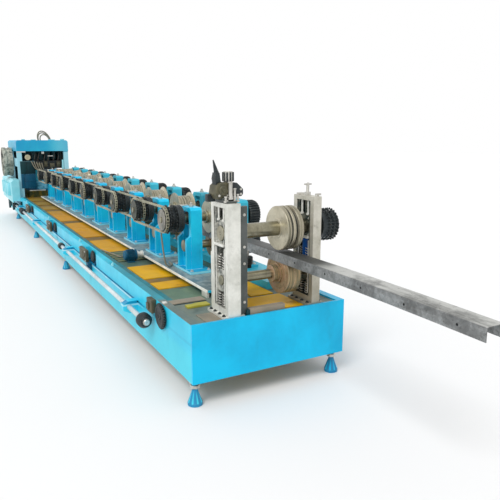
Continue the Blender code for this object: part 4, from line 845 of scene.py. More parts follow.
def hose_tree():
    """A round hose along a path of edges, with closed ends."""
    tree, size = new_tree("hoses", radius=NUMBER, step=NUMBER)
    any_wire = size["Geometry"]
    curve = any_wire.node("GeometryNodeMeshToCurve", {}, {0: size["Geometry"]})
    curve = any_wire.node("GeometryNodeCurveSplineType", {"spline_type": "CATMULL_ROM"}, {0: curve})
    curve = any_wire.node("GeometryNodeResampleCurve", {"mode": "LENGTH"}, {
        "Curve": curve, "Length": size["step"],
    })
    ring = any_wire.node("GeometryNodeCurvePrimitiveCircle", {}, {"Resolution": 12, "Radius": size["radius"]})
    tube = any_wire.node("GeometryNodeCurveToMesh", {}, {0: curve, 1: ring, "Fill Caps": True})
    return end_tree(tree, tube, size["material"])


CHAIN_LINKS = link_tree()
TEETH = tooth_tree()
BOLTS = bolt_tree()
COILS = coil_tree()
HOSES = hose_tree()


def blocks(name, slot, material, *rows):
    """A piece made of blocks, each given by two corners and the easing of its edges."""
    piece = Shape()
    for row in rows:
        piece.box(*row)
    return keep(piece, name, material)


def bolts(name, groups, head, material=BRIGHT):
    """Bolts at groups of (places, facing)."""
    seats = Shape()
    for places, facing in groups:
        seats.points(places, facing)
    made = grown(seats, BOLTS, head=head, rise=head * 0.8,
                 washer=head * 1.35, thread=head * 1.3, material=material)
    return keep(made, name)


def hose(name, routes, radius, material=HOSE):
    """Hoses or pipes along routes of points."""
    paths = Shape()
    for route in routes:
        paths.line(route)
    made = grown(paths, HOSES, radius=radius, step=radius * 0.9, material=material)
    return keep(made, name)


# Finishes of the solids that stay as they are
dress("bed_near_side", CYAN_SIDE_LIT)
for node in ("bed_far_side", "bed_exit_plate", "bed_entry_plate"):
    dress(node, CYAN)
dress("head_frame", CYAN_HEAD)
dress("side_box", CYAN_PALE)
for node in ("near_stands_exit_half", "near_stands_entry_half"):
    dress(node, CYAN_WORN)
for node in ("far_stands_exit_half", "far_stands_entry_half"):
    dress(node, CYAN_FAR)
dress("head_bolster", BOLSTER)
dress("deck_plate", DECK)
dress("cover_panels", YELLOW)
dress("exit_near_housing", HOUSING_WHITE)
dress("exit_far_housing", HOUSING_GREY)
dress("head_ram", DARK)

# Sizes along the shafts, from the machine's near face to its far side
STUB = 0.015
SHAFT_RADIUS = 0.035
SPROCKET_NEAR = span("top_roll_shaft_01")[0].y + STUB
SHAFT_START = SPROCKET_NEAR - STUB
ROWS_END = SPROCKET_NEAR + 0.110
DRUM_END = SPROCKET_NEAR + 0.165
GEAR_END = span("top_roll_shaft_01")[1].y
GEAR_START = GEAR_END - 0.100
NEAR_HOUSING = (0.485, 0.585)
FAR_HOUSING = (0.925, 1.025)
FOOT_TOP = RAIL_TOP + 0.020
HOUSING_TOP = span("near_stands_exit_half")[1].z
FAR_HOUSING_TOP = span("far_stands_exit_half")[1].z
STRIP_MIDDLE = (span("formed_channel")[0].y + span("formed_channel")[1].y) / 2
STRIP_THICK = 0.0035
WEB_WIDTH = 0.120
RUN_GAP = 0.005
CHAIN_RADIUS = 0.1062
CHAIN_HALF = 0.014
CHAIN_STEP = 0.055
LINK_PITCH = 0.0254
TOP_Z = AXES["top_roll_01_spin"].z
BOTTOM_Z = AXES["bottom_roll_01_spin"].z


def stand_x(number):
    """A forming stand's place, counted from 0 at the exit."""
    return AXES[f"top_roll_{number + 1:02d}_spin"].x - CORNER.x


def bend_angle(number):
    """How far a stand bends the flanges down."""
    return math.radians(90) * (STANDS - number) / (STANDS + 1)


def gear(name, x, z, phase, body):
    """A spur gear on the far end of a roll shaft."""
    disc = Shape().turned((
        (GEAR_START, 0.0), (GEAR_START, 0.060), (GEAR_START + 0.006, 0.064),
        (GEAR_START + 0.006, 0.094), (GEAR_START + 0.001, 0.098), (GEAR_START, 0.109),
        (GEAR_END, 0.109), (GEAR_END, 0.098), (GEAR_END - 0.006, 0.094),
        (GEAR_END - 0.006, 0.050), (GEAR_END, 0.046), (GEAR_END, 0.0),
    ), (x, 0, z))
    middle = (GEAR_START + GEAR_END) / 2
    made = grown(disc, TEETH, place=at(x, middle, z), rows=1, step=0.0, teeth=32,
                 root=0.1135, rise=0.011, base=0.0125, tip=0.0062, width=GEAR_END - GEAR_START,
                 phase=phase, material=DARK)
    return keep(made, name, body=body)


# Roll shafts, sprocket drums, rolls and gears of the forming stands
for number in range(STANDS):
    label = f"{number + 1:02d}"
    x = stand_x(number)
    angle = bend_angle(number)
    rise = min(FLANGE * math.sin(angle), 0.032)
    web = TOP_Z - WEB_TOP - RUN_GAP
    half = WEB_WIDTH / 2 + RUN_GAP
    reach = half + max(rise / math.tan(angle), STRIP_THICK)
    top_body = f"top_roll_{label}"
    low_body = f"bottom_roll_{label}"
    shaft = Shape().turned((
        (SHAFT_START, 0.0), (SHAFT_START, 0.006), (SHAFT_START + 0.006, 0.008),
        (SHAFT_START, 0.010), (SHAFT_START, 0.022), (SHAFT_START + 0.003, 0.025),
        (SPROCKET_NEAR, 0.025), (DRUM_END, 0.030), (DRUM_END, SHAFT_RADIUS + 0.008),
        (DRUM_END + 0.016, SHAFT_RADIUS + 0.008), (DRUM_END + 0.018, SHAFT_RADIUS),
        (GEAR_START, SHAFT_RADIUS), (GEAR_START, 0.0),
    ), (x, 0, TOP_Z))
    keep(shaft, "top_shaft_" + label, SHAFT, top_body, ["top_roll_shaft_" + label])
    drum = Shape().turned((
        (SPROCKET_NEAR, 0.020), (SPROCKET_NEAR, 0.052), (SPROCKET_NEAR + 0.004, 0.055),
        (SPROCKET_NEAR + 0.004, 0.078), (SPROCKET_NEAR, 0.082), (SPROCKET_NEAR + 0.002, 0.086),
        (ROWS_END, 0.086), (ROWS_END + 0.002, 0.111), (ROWS_END + 0.006, 0.115),
        (ROWS_END + 0.024, 0.115), (ROWS_END + 0.026, 0.111), (ROWS_END + 0.030, 0.111),
        (ROWS_END + 0.032, 0.115), (DRUM_END - 0.004, 0.115), (DRUM_END, 0.111),
        (DRUM_END, 0.060), (DRUM_END - 0.006, 0.056), (DRUM_END - 0.006, 0.020),
    ), (x, 0, TOP_Z))
    made = grown(drum, TEETH, place=at(x, SPROCKET_NEAR + CHAIN_HALF, TOP_Z),
                 rows=2, step=CHAIN_STEP, teeth=22, root=0.0905, rise=0.012, base=0.016, tip=0.007,
                 width=0.010, phase=0.0, material=DARK)
    made = grown(made, TEETH, place=at(x, SPROCKET_NEAR + CHAIN_HALF + CHAIN_STEP / 2, TOP_Z), rows=2,
                 step=CHAIN_STEP, teeth=22, root=0.097, rise=0.024, base=0.020, tip=0.010, width=0.011,
                 phase=0.5, material=DARK)
    keep(made, "sprocket_drum_" + label, body=top_body)
    cap = Shape().turned((
        (-0.0045, 0.026), (-0.0045, 0.050), (-0.002, 0.054), (-0.002, 0.080), (-0.005, 0.083),
        (-0.005, 0.088), (-0.002, 0.091), (-SEAT, 0.091), (-SEAT, 0.026), (-0.0045, 0.026),
    ), (x, SPROCKET_NEAR, TOP_Z))
    keep(cap, "drum_end_" + label, DRUM_FACE_DARK if number else DRUM_FACE, top_body)
    shoulder = web + rise
    edge = 0.0025
    rolls = Shape()
    near = STRIP_MIDDLE - reach - 0.010
    far = STRIP_MIDDLE + reach + 0.010
    rolls.turned((
        (near - 0.030, SHAFT_RADIUS), (near - 0.030, 0.052), (near - 0.028, 0.054), (near, 0.054),
        (near, shoulder - edge), (near + edge, shoulder),
        (STRIP_MIDDLE - reach - edge, shoulder), (STRIP_MIDDLE - reach, shoulder - edge),
        (STRIP_MIDDLE - half, web), (STRIP_MIDDLE - 0.0015, web), (STRIP_MIDDLE - 0.0015, web - 0.003),
        (STRIP_MIDDLE + 0.0015, web - 0.003), (STRIP_MIDDLE + 0.0015, web), (STRIP_MIDDLE + half, web),
        (STRIP_MIDDLE + reach, shoulder - edge), (STRIP_MIDDLE + reach + edge, shoulder),
        (far - edge, shoulder), (far, shoulder - edge),
        (far, 0.054), (far + 0.010, 0.054), (far + 0.012, 0.052), (far + 0.012, SHAFT_RADIUS),
    ), (x, 0, TOP_Z), sides=48)
    keep(rolls, "top_rolls_" + label, ROLL, top_body)
    gear("top_gear_" + label, x, TOP_Z, 0.0, top_body)
    carrier = WEB_TOP - STRIP_THICK - SEAT - BOTTOM_Z
    low_half = WEB_WIDTH / 2 - STRIP_THICK - RUN_GAP
    drop = FLANGE * math.sin(angle)
    run = FLANGE * math.cos(angle)
    low_edge = max(carrier - drop - RUN_GAP, SHAFT_RADIUS + RUN_GAP)
    low_reach = low_half + max(run, SEAT)
    collar = NEAR_HOUSING[0] - 0.006
    shaft = Shape().turned((
        (collar - 0.024, 0.0), (collar - 0.024, 0.046), (collar - 0.021, 0.050), (collar - 0.004, 0.050),
        (collar, 0.046), (collar, SHAFT_RADIUS), (GEAR_START, SHAFT_RADIUS), (GEAR_START, 0.0),
    ), (x, 0, BOTTOM_Z))
    keep(shaft, "bottom_shaft_" + label, SHAFT, low_body, ["bottom_roll_shaft_" + label])
    rolls = Shape().turned((
        (-low_reach - 0.014, SHAFT_RADIUS), (-low_reach - 0.014, low_edge), (-low_reach, low_edge),
        (-low_half, carrier), (-0.0015, carrier), (-0.0015, carrier - 0.003), (0.0015, carrier - 0.003),
        (0.0015, carrier), (low_half, carrier), (low_reach, low_edge), (low_reach + 0.014, low_edge),
        (low_reach + 0.014, SHAFT_RADIUS),
    ), (x, STRIP_MIDDLE, BOTTOM_Z), sides=48)
    keep(rolls, "bottom_rolls_" + label, ROLL_PINK, low_body)
    gear("bottom_gear_" + label, x, BOTTOM_Z, 0.5, low_body)

# Roller chains from stand to stand
for number in range(STANDS - 1):
    label = f"{number + 1:02d}"
    right, left = stand_x(number), stand_x(number + 1)
    y = SPROCKET_NEAR + CHAIN_HALF + CHAIN_STEP * (number % 2)
    route = []
    steps = 24
    for turn in range(steps + 1):
        angle = -math.pi / 2 + math.pi * turn / steps
        route.append((right + CHAIN_RADIUS * math.cos(angle), y, TOP_Z + CHAIN_RADIUS * math.sin(angle)))
    for turn in range(steps + 1):
        angle = math.pi / 2 + math.pi * turn / steps
        route.append((left + CHAIN_RADIUS * math.cos(angle), y, TOP_Z + CHAIN_RADIUS * math.sin(angle)))
    length = 2 * (right - left) + math.tau * CHAIN_RADIUS
    links = 2 * round(length / LINK_PITCH / 2)
    path = Shape().line(route, closed=True)
    made = grown(path, CHAIN_LINKS, links=links, pitch=length / links,
                 plate=0.0170, thick=0.0030, width=0.026, roller=0.0064, material=CHAIN)
    keep(made, "roller_chain_" + label, instead=["drive_chain_" + label])

# Fittings on the forming stands: bearing rings, top screws, guard bars and foot bolts
rings = Shape()
screws = Shape()
guards = Shape()
for number in range(STANDS):
    x = stand_x(number)
    for z in (TOP_Z, BOTTOM_Z):
        for start, end in ((NEAR_HOUSING[0] + 0.0125, NEAR_HOUSING[0] + 0.002),
                           (NEAR_HOUSING[1] - 0.0125, NEAR_HOUSING[1] - 0.002),
                           (FAR_HOUSING[0] + 0.0125, FAR_HOUSING[0] + 0.002),
                           (FAR_HOUSING[1] - 0.0125, FAR_HOUSING[1] - 0.002)):
            rings.turned(((start, SHAFT_RADIUS + 0.002), (start, 0.055), (end, 0.053),
                          (end, SHAFT_RADIUS + 0.002), (start, SHAFT_RADIUS + 0.002)), (x, 0, z), sides=28)
    for middle, top in ((sum(NEAR_HOUSING) / 2, HOUSING_TOP), (sum(FAR_HOUSING) / 2, FAR_HOUSING_TOP)):
        screws.turned((
            (0.0, 0.0), (0.0, 0.020), (0.014, 0.020), (0.016, 0.018), (0.016, 0.011), (0.034, 0.011),
            (0.036, 0.009), (0.036, 0.0),
        ), (x, middle, top), "Z", 6)
    guards.box((x - 0.092, NEAR_HOUSING[0] - 0.118, HOUSING_TOP - 0.004),
               (x - 0.068, NEAR_HOUSING[0] + 0.003, HOUSING_TOP + 0.010), 0.002)
    guards.box((x - 0.088, NEAR_HOUSING[0] - 0.004, HOUSING_TOP + 0.001),
               (x - 0.072, NEAR_HOUSING[0] + 0.050, HOUSING_TOP + 0.009), 0.002)
keep(rings, "bearing_rings", DARK)
keep(screws, "top_screws", BRIGHT)
keep(guards, "guard_bars", WHITE_STEEL)
seats = []
for number in range(STANDS):
    x = stand_x(number)
    for y in (NEAR_HOUSING[0] - 0.026, NEAR_HOUSING[1] + 0.026,
              FAR_HOUSING[0] - 0.026, FAR_HOUSING[1] + 0.026):
        seats += [(x + side, y, FOOT_TOP) for side in (-0.170, 0.170)]
bolts("foot_plate_bolts", [(seats, (0, 0, 1))], 0.012)



def strip_section(x, angle, lower):
    """The strip's section at one place: both flanges bent down by the angle, with eased bends."""
    half = WEB_WIDTH / 2
    bend = 0.007
    outer = []
    steps = 5
    for step in range(steps + 1):
        turn = angle * step / steps
        shift = bend * math.tan(angle / 2)
        centre = Vector((half - shift, -bend))
        outer.append((centre + Vector((math.sin(turn), math.cos(turn))) * bend, turn))
    down = Vector((math.cos(angle), -math.sin(angle)))
    tip = Vector((half, 0)) + down * FLANGE
    outer.append((tip, angle))
    right = [point for point, _ in outer]
    inner = []
    for point, turn in outer:
        inner.append(point - Vector((math.sin(turn), math.cos(turn))) * STRIP_THICK)
    side = right + list(reversed(inner))
    other = [Vector((-point.x, point.y)) for point in reversed(side)]
    return [at(x, STRIP_MIDDLE + p.x, WEB_TOP - lower + p.y) for p in side + other]


def strip_stations():
    """(x, bend angle, droop) from the entry to the free end, smooth between the stands."""
    start, end = span("formed_channel")
    exit_x = AXES["exit_top_roll_spin"].x - CORNER.x
    marks = [(start.x, 0.0)] + [(stand_x(n), bend_angle(n)) for n in reversed(range(STANDS))]
    marks.append((exit_x, math.pi / 2))
    rows = []
    for (x0, a0), (x1, a1) in zip(marks, marks[1:]):
        for share in (0, 0.25, 0.5, 0.75):
            rows.append((x0 + (x1 - x0) * share, a0 + (a1 - a0) * share, 0.0))
    for share in (0, 1 / 6, 2 / 6, 3 / 6, 4 / 6, 5 / 6, 1):
        rows.append((exit_x + (end.x - exit_x) * share, math.pi / 2, CHANNEL_DROOP * share ** 2))
    return rows


# Strip and channel, rolled from flat to finished
strip = Shape()
sections = [[strip.mesh.verts.new(point) for point in strip_section(*row)] for row in strip_stations()]
count = len(sections[0])
for this, after in zip(sections, sections[1:]):
    for corner in range(count):
        other = (corner + 1) % count
        strip.mesh.faces.new((this[corner], this[other], after[other], after[corner]))
strip.mesh.faces.new(sections[0])
strip.mesh.faces.new(sections[-1])
bmesh.ops.recalc_face_normals(strip.mesh, faces=strip.mesh.faces)
keep(strip, "rolled_channel", ZINC, instead=["formed_channel"])

# Exit stand: shafts, rolls and the sprocket with three rows of teeth
EXIT = AXES["exit_top_roll_spin"] - CORNER
EXIT_LOW = AXES["exit_bottom_roll_spin"] - CORNER
near_low, near_high = span("exit_near_housing")
far_low, far_high = span("exit_far_housing")
roll_near = STRIP_MIDDLE - WEB_WIDTH / 2
roll_far = roll_near + 0.125
shaft_near = span("exit_top_roll_shaft")[0].y
sprocket_near = 1.031
sprocket_far = span("exit_top_roll_shaft")[1].y
shaft = Shape().turned((
    (shaft_near, 0.0), (shaft_near, 0.008), (shaft_near + 0.007, 0.010), (shaft_near, 0.012),
    (shaft_near, 0.047), (shaft_near + 0.003, 0.050), (sprocket_near, 0.050), (sprocket_near, 0.0),
), (EXIT.x, 0, EXIT.z), sides=48)
keep(shaft, "exit_top_shaft", SHAFT, "exit_top_roll", ["exit_top_roll_shaft"])
big = 0.153
roll = Shape().turned((
    (roll_near - 0.002, 0.049), (roll_near - 0.002, 0.066), (roll_near, 0.068), (roll_near, big - 0.004),
    (roll_near + 0.004, big), (roll_near + 0.028, big), (roll_near + 0.030, big - 0.002),
    (roll_near + 0.030, big - 0.014), (roll_near + 0.044, big - 0.014), (roll_near + 0.044, big - 0.002),
    (roll_near + 0.046, big), (roll_near + 0.062, big), (roll_near + 0.064, big - 0.002),
    (roll_near + 0.064, big - 0.026), (roll_near + 0.089, big - 0.026), (roll_near + 0.089, big - 0.002),
    (roll_near + 0.091, big), (roll_far - 0.004, big), (roll_far, big - 0.004), (roll_far, 0.068),
    (roll_far + 0.018, 0.066), (roll_far + 0.018, 0.049),
), (EXIT.x, 0, EXIT.z), sides=72)
keep(roll, "exit_top_roll_disc", ROLL, "exit_top_roll")
# Painted shade: thin dark rings laid on the floors of the exit roll's grooves.
roll_groove_shade = Shape()
for start, end, low in ((0.0302, 0.0438, big - 0.0145), (0.0642, 0.0888, big - 0.0265)):
    roll_groove_shade.turned((
        (start, low), (start, low + 0.0035), (end, low + 0.0035), (end, low), (start, low),
    ), (EXIT.x, roll_near, EXIT.z), sides=72)
keep(roll_groove_shade, "exit_roll_groove_shade", DARK, "exit_top_roll")
hub = Shape().turned((
    (sprocket_near, 0.030), (sprocket_near, 0.060), (sprocket_near + 0.004, 0.064),
    (sprocket_near + 0.004, 0.084), (sprocket_near, 0.088), (sprocket_near + 0.003, 0.097),
    (sprocket_far - 0.003, 0.097), (sprocket_far, 0.090), (sprocket_far, 0.070),
    (sprocket_far - 0.008, 0.066), (sprocket_far - 0.008, 0.030),
), (EXIT.x, 0, EXIT.z), sides=56)
made = grown(hub, TEETH, place=at(EXIT.x, sprocket_near + 0.052, EXIT.z), rows=3,
             step=0.034, teeth=26, root=0.1025, rise=0.015, base=0.017, tip=0.008, width=0.013,
             phase=0.0, material=DARK)
keep(made, "exit_sprocket", body="exit_top_roll")
collar = STRIP_MIDDLE - WEB_WIDTH / 2 - RUN_GAP
drum = WEB_TOP - STRIP_THICK - SEAT - EXIT_LOW.z
neck = drum - FLANGE - RUN_GAP
low_far = span("exit_bottom_roll_shaft")[1].y
shaft = Shape().turned((
    (shaft_near, 0.0), (shaft_near, 0.0305), (shaft_near + 0.003, 0.0335), (low_far - 0.003, 0.0335),
    (low_far, 0.030), (low_far, 0.0),
), (EXIT_LOW.x, 0, EXIT_LOW.z), sides=40)
keep(shaft, "exit_bottom_shaft", SHAFT, "exit_bottom_roll", ["exit_bottom_roll_shaft"])
lower_half = WEB_WIDTH / 2 - STRIP_THICK - RUN_GAP
rolls = Shape().turned((
    (collar - 0.045, 0.033), (collar - 0.045, 0.056), (collar - 0.042, 0.060), (collar - 0.002, 0.060),
    (collar, 0.058), (collar, neck), (STRIP_MIDDLE - lower_half, neck),
    (STRIP_MIDDLE - lower_half, 0.105), (STRIP_MIDDLE - lower_half + 0.002, 0.107),
    (STRIP_MIDDLE - lower_half + 0.002, 0.113), (STRIP_MIDDLE - lower_half, 0.115),
    (STRIP_MIDDLE - lower_half, drum - 0.004), (STRIP_MIDDLE - lower_half + 0.004, drum),
    (STRIP_MIDDLE - 0.002, drum), (STRIP_MIDDLE - 0.001, drum - 0.002), (STRIP_MIDDLE + 0.001, drum - 0.002),
    (STRIP_MIDDLE + 0.002, drum), (STRIP_MIDDLE + lower_half - 0.003, drum),
    (STRIP_MIDDLE + lower_half, drum - 0.003), (STRIP_MIDDLE + lower_half, 0.060),
    (STRIP_MIDDLE + lower_half + 0.020, 0.058), (STRIP_MIDDLE + lower_half + 0.020, 0.033),
), (EXIT_LOW.x, 0, EXIT_LOW.z), sides=72)
keep(rolls, "exit_bottom_rolls", ROLL_PINK, "exit_bottom_roll")

# Fittings in the exit housings: plates behind the windows, guide strips, springs and screws
near_face = near_low.y + 0.030
near_back = near_high.y - 0.030
far_face = far_low.y + 0.030
far_back = far_high.y - 0.030
base_top = DECK_TOP + 0.0183
gaps = ((0.622, 0.724), (0.877, 1.028))
dark_plates = Shape()
strips = Shape()
for face, back, top in ((near_face, near_back, near_high.z), (far_face, far_back, far_high.z)):
    for low, high in (*gaps, (1.202, top - 0.032)):
        dark_plates.box((EXIT.x - 0.0715, back - 0.016, low), (EXIT.x + 0.0715, back - 0.008, high), 0.001)
    for side in (-0.0665, 0.0585):
        strips.box((EXIT.x + side, face + 0.001, 0.640), (EXIT.x + side + 0.008, face + 0.011, 1.020), 0.002)
    strips.box((EXIT.x - 0.064, face - 0.010, 1.032), (EXIT.x + 0.064, face + 0.013, 1.050), 0.004)
    for side in (-0.040, 0.034):
        strips.turned(((1.201, 0.0), (1.201, 0.008), (top - 0.034, 0.008), (top - 0.034, 0.0)),
                      (EXIT.x + side, face + 0.018, 0), "Z", 14)
        strips.turned(((1.196, 0.0), (1.196, 0.014), (1.210, 0.014), (1.210, 0.0)),
                      (EXIT.x + side, face + 0.018, 0), "Z", 6)
keep(dark_plates, "exit_window_plates", BLUE_GREEN)
keep(strips, "exit_guide_strips", WHITE_STEEL)
seats = [(EXIT.x + side, face + 0.022, low) for face in (near_face, far_face)
         for side in (-0.034, 0.030) for low in (0.632, 0.884)]
springs = grown(Shape().points(seats, (0, 0, 1)), COILS, turns=5.0,
                radius=0.015, height=0.088, wire=0.0032, material=BRIGHT)
keep(springs, "exit_springs")
seats = [(EXIT.x + side, face + 0.012, z + rise) for face in (near_face, far_face)
         for side in (-0.052, 0.052) for z in (EXIT.z, EXIT_LOW.z) for rise in (-0.058, 0.058)]
bolts("exit_block_bolts", [(seats, (0, -1, 0))], 0.007)
seats = [(EXIT.x + side, y, base_top)
         for y in (near_low.y + 0.013, near_high.y - 0.013, far_low.y + 0.013, far_high.y - 0.013)
         for side in (-0.105, -0.045, 0.025, 0.090)]
bolts("exit_base_bolts", [(seats, (0, 0, 1))], 0.010, DARK)
blocks("exit_inner_plate", "oiled_black", DIM_STEEL,
       ((EXIT.x + 0.0800, near_back + SEAT, base_top + 0.001),
        (EXIT.x + 0.1080, near_back + 0.058, 1.296), 0.004),
       ((EXIT.x - 0.100, near_back + SEAT, 1.180), (EXIT.x + 0.053, near_back + 0.030, 1.240), 0.004))
seats = [(EXIT.x + 0.1080, near_back + 0.034, z) for z in (0.66, 0.92, 1.03, 1.24)]
bolts("inner_plate_bolts", [(seats, (1, 0, 0))], 0.007)
sleeve = Shape().turned((
    (0.877, 0.0265), (0.877, 0.029), (0.881, 0.0315), (0.905, 0.0315), (0.907, 0.0295), (0.998, 0.0295),
    (1.000, 0.0315), (1.024, 0.0315), (1.028, 0.029), (1.028, 0.0265), (0.877, 0.0265),
), (EXIT.x, (far_face + far_back) / 2, 0), "Z", 32)
keep(sleeve, "blue_sleeve", PLASTIC_BLUE)
wing = Shape()
wing.turned(((1.300, 0.0), (1.300, 0.007), (1.338, 0.007), (1.340, 0.0)),
            (EXIT.x + 0.095, far_back - 0.012, 0), "Z", 16)
wing.box((EXIT.x + 0.091, far_back - 0.036, 1.336), (EXIT.x + 0.099, far_back + 0.012, 1.350), 0.003)
wing.box((EXIT.x - 0.105, far_face + 0.010, 1.3302), (EXIT.x - 0.070, far_back - 0.010, 1.344), 0.003)
keep(wing, "wing_bolt", BRIGHT)

# Bars, plates and tabs on the deck and along the bed's near side, whose groove is in three lengths
GROOVE_STARTS = (2.50, 4.75, 7.05)
blocks("deck_bars", "machined_frame", RAIL_GREY,
       ((-0.068, 0.432, DECK_TOP + SEAT), (-0.024, 0.705, DECK_TOP + 0.050), 0.003),
       ((-0.600, 0.066, DECK_TOP + SEAT), (-0.505, 0.325, DECK_TOP + 0.008), 0.002),
       ((-0.215, 0.120, DECK_TOP + SEAT), (-0.022, 0.234, DECK_TOP + 0.005), 0.001))
blocks("deck_bar_ends", "oiled_black", BLUE_GREEN,
       ((-0.072, 0.405, DECK_TOP + SEAT), (-0.022, 0.431, DECK_TOP + 0.046), 0.002),
       ((-0.110, 0.440, DECK_TOP + SEAT), (-0.069, 0.860, DECK_TOP + 0.004), 0.001),
       ((-0.500, 0.066, DECK_TOP + SEAT), (-0.490, 0.325, DECK_TOP + 0.003), 0.001))
blocks("olive_bar", "yellow_paint", OLIVE_BAR,
       ((-0.425, 0.128, DECK_TOP + SEAT), (-0.368, 0.232, DECK_TOP + 0.016), 0.002),
       ((-0.445, 0.200, DECK_TOP + SEAT), (-0.372, 0.300, DECK_TOP + 0.013), 0.002))
yellow = Shape().box((-0.157, 0.712, DECK_TOP + SEAT), (-0.060, 0.883, DECK_TOP + 0.006), 0.001)
for number in (2, 4, 6):
    start = stand_x(number - 1) - 0.555
    yellow.box((stand_x(number) - 0.0545, 0.1205, DECK_TOP + SEAT),
               (start - 0.0005, 0.4145, PANEL_TOP - 0.0005), 0.001)
keep(yellow, "yellow_corner", YELLOW)
white = Shape().box((-0.550, 0.004, BED_TOP + SEAT), (-0.515, 0.034, BED_TOP + 0.012), 0.002)
white.box((-0.640, 0.352, DECK_TOP + SEAT), (-0.545, 0.372, DECK_TOP + 0.052), 0.002)
for start in GROOVE_STARTS:
    white.box((-start - 0.0065, 0.001, 0.444), (-start - 0.0005, 0.037, BED_TOP - 0.002), 0.001)
keep(white, "white_tabs", WHITE_STEEL)
blocks("pinion_bracket", "oiled_black", OLIVE_IRON,
       ((-0.765, -0.040, 0.470), (-0.655, -0.0005, 0.572), 0.006),
       ((-0.745, -0.052, 0.490), (-0.700, -0.038, 0.540), 0.004))
cases = Shape()
case_bolts = []
for start, end in ((-3.140, -2.830), (-5.450, -5.150), (-7.860, -7.520)):
    cases.box((start, -0.036, 0.424), (end, -0.0005, 0.556), 0.008)
    cases.box((start + 0.060, -0.043, 0.450), (end - 0.110, -0.034, 0.536), 0.004)
    cases.turned(((-0.046, 0.0), (-0.046, 0.022), (-0.040, 0.028), (-0.034, 0.030), (-0.034, 0.0)),
                 (end - 0.055, 0, 0.500), sides=28)
    case_bolts += [(x, -0.036, z) for x in (start + 0.022, end - 0.016) for z in (0.440, 0.540)]
keep(cases, "gear_cases", OLIVE_IRON)
bolts("gear_case_bolts", [(case_bolts, (0, -1, 0))], 0.008)
tabs = Shape()
for x, high in ((-1.890, 0.040), (-3.310, 0.034), (-5.50, 0.034), (-8.05, 0.034)):
    tabs.prism(((x - 0.050, BED_TOP + SEAT), (x + 0.020, BED_TOP + SEAT), (x + 0.020, BED_TOP + high)),
               "Y", 0.004, 0.016)
keep(tabs, "edge_tabs", CYAN_PALE)
# Painted shade: dark blue blocks set in the groove on either side of each pocket. The last block sits on the
# face below the groove.
shade = Shape()
for start in GROOVE_STARTS:
    for inward in (0.115, 0.345):
        x = -start - inward
        shade.box((x - 0.030, 0.004, 0.4425), (x + 0.030, 0.036, 0.452), 0.002)
shade.box((-2.780, -0.044, 0.335), (-2.700, -0.0005, 0.440), 0.006)
keep(shade, "groove_shade_blocks_and_bracket", DARK_BLUE)
hose("deck_hoses", [
    [(-1.352, 0.300, 0.940), (-1.353, 0.306, 0.860), (-1.356, 0.320, 0.740), (-1.358, 0.336, 0.664),
     (-1.372, 0.370, 0.634), (-1.440, 0.420, 0.630), (-1.560, 0.440, 0.630)],
    [(-2.105, 0.215, 0.628), (-2.160, 0.200, 0.610), (-2.240, 0.180, 0.578), (-2.420, 0.160, 0.572),
     (-2.700, 0.110, 0.572)],
], 0.007, HOSE_GREY)

# Line shaft with its bevel pinion, and the gears of the cross screws
LINE = AXES["line_shaft_spin"] - CORNER
line_low, line_high = span("line_shaft")
pinion_start = -0.70
shaft = Shape().turned((
    (line_low.x, 0.0), (line_low.x, 0.018), (line_low.x + 0.002, 0.020), (line_high.x - 0.003, 0.020),
    (line_high.x, 0.017), (line_high.x, 0.006), (line_high.x - 0.006, 0.004), (line_high.x - 0.006, 0.0),
), (0, LINE.y, LINE.z), "X", 24)
keep(shaft, "long_shaft", SHAFT_WHITE, "line_shaft", ["line_shaft"])
pinion = Shape().turned((
    (-0.090, 0.019), (-0.090, 0.048), (-0.084, 0.050), (-0.074, 0.050), (-0.070, 0.056), (-0.025, 0.056),
    (0.0, 0.040), (0.0, 0.030), (-0.006, 0.028), (-0.006, 0.019),
), (pinion_start, LINE.y, LINE.z), "X", 36)
keep(pinion, "line_pinion", DARK, "line_shaft")
collars = Shape()
for start, width, radius in ((-0.702, 0.008, 0.034), (-4.130, 0.100, 0.036), (-4.105, 0.050, 0.041),
                             (-8.060, 0.120, 0.052), (-8.030, 0.040, 0.060), (-8.300, 0.110, 0.050),
                             (-9.300, 0.140, 0.046)):
    end = start + width
    collars.turned(((start, 0.019), (start, radius - 0.003), (start + 0.003, radius), (end - 0.003, radius),
                    (end, radius - 0.003), (end, 0.019)), (0, LINE.y, LINE.z), "X", 28)
keep(collars, "line_collars", DARK, "line_shaft")
tip = Shape().turned(((-0.700, 0.0), (-0.700, 0.020), (-0.696, 0.026), (-0.682, 0.024),
                      (-0.679, 0.021), (-0.679, 0.0)), (0, LINE.y, LINE.z), "X", 24)
keep(tip, "line_shaft_end", BRIGHT, "line_shaft")
for number in range(1, 5):
    node = f"cross_gear_{number}"
    axis = AXES[node + "_spin"] - CORNER
    low, high = span(node)
    radius = (high.z - low.z) / 2
    back = low.y + 0.025
    disc = Shape().turned((
        (low.y + 0.004, 0.0), (low.y + 0.004, 0.014), (low.y, 0.018), (low.y, 0.026),
        (low.y + 0.006, 0.030), (low.y + 0.006, radius - 0.028), (low.y + 0.001, radius - 0.024),
        (low.y + 0.001, radius - 0.013), (low.y + 0.006, radius - 0.008), (back, radius - 0.008),
        (back, 0.0178), (high.y, 0.0178), (high.y, 0.0),
    ), (axis.x, 0, axis.z))
    made = grown(disc, TEETH, place=at(axis.x, (low.y + 0.005 + back) / 2, axis.z), rows=1, step=0.0,
                 teeth=30 if radius > 0.08 else 22, root=radius - 0.0045, rise=0.009, base=0.011,
                 tip=0.006, width=back - low.y - 0.006, phase=0.0, material=DARK)
    keep(made, f"cross_gear_wheel_{number}", body=node, instead=[node])

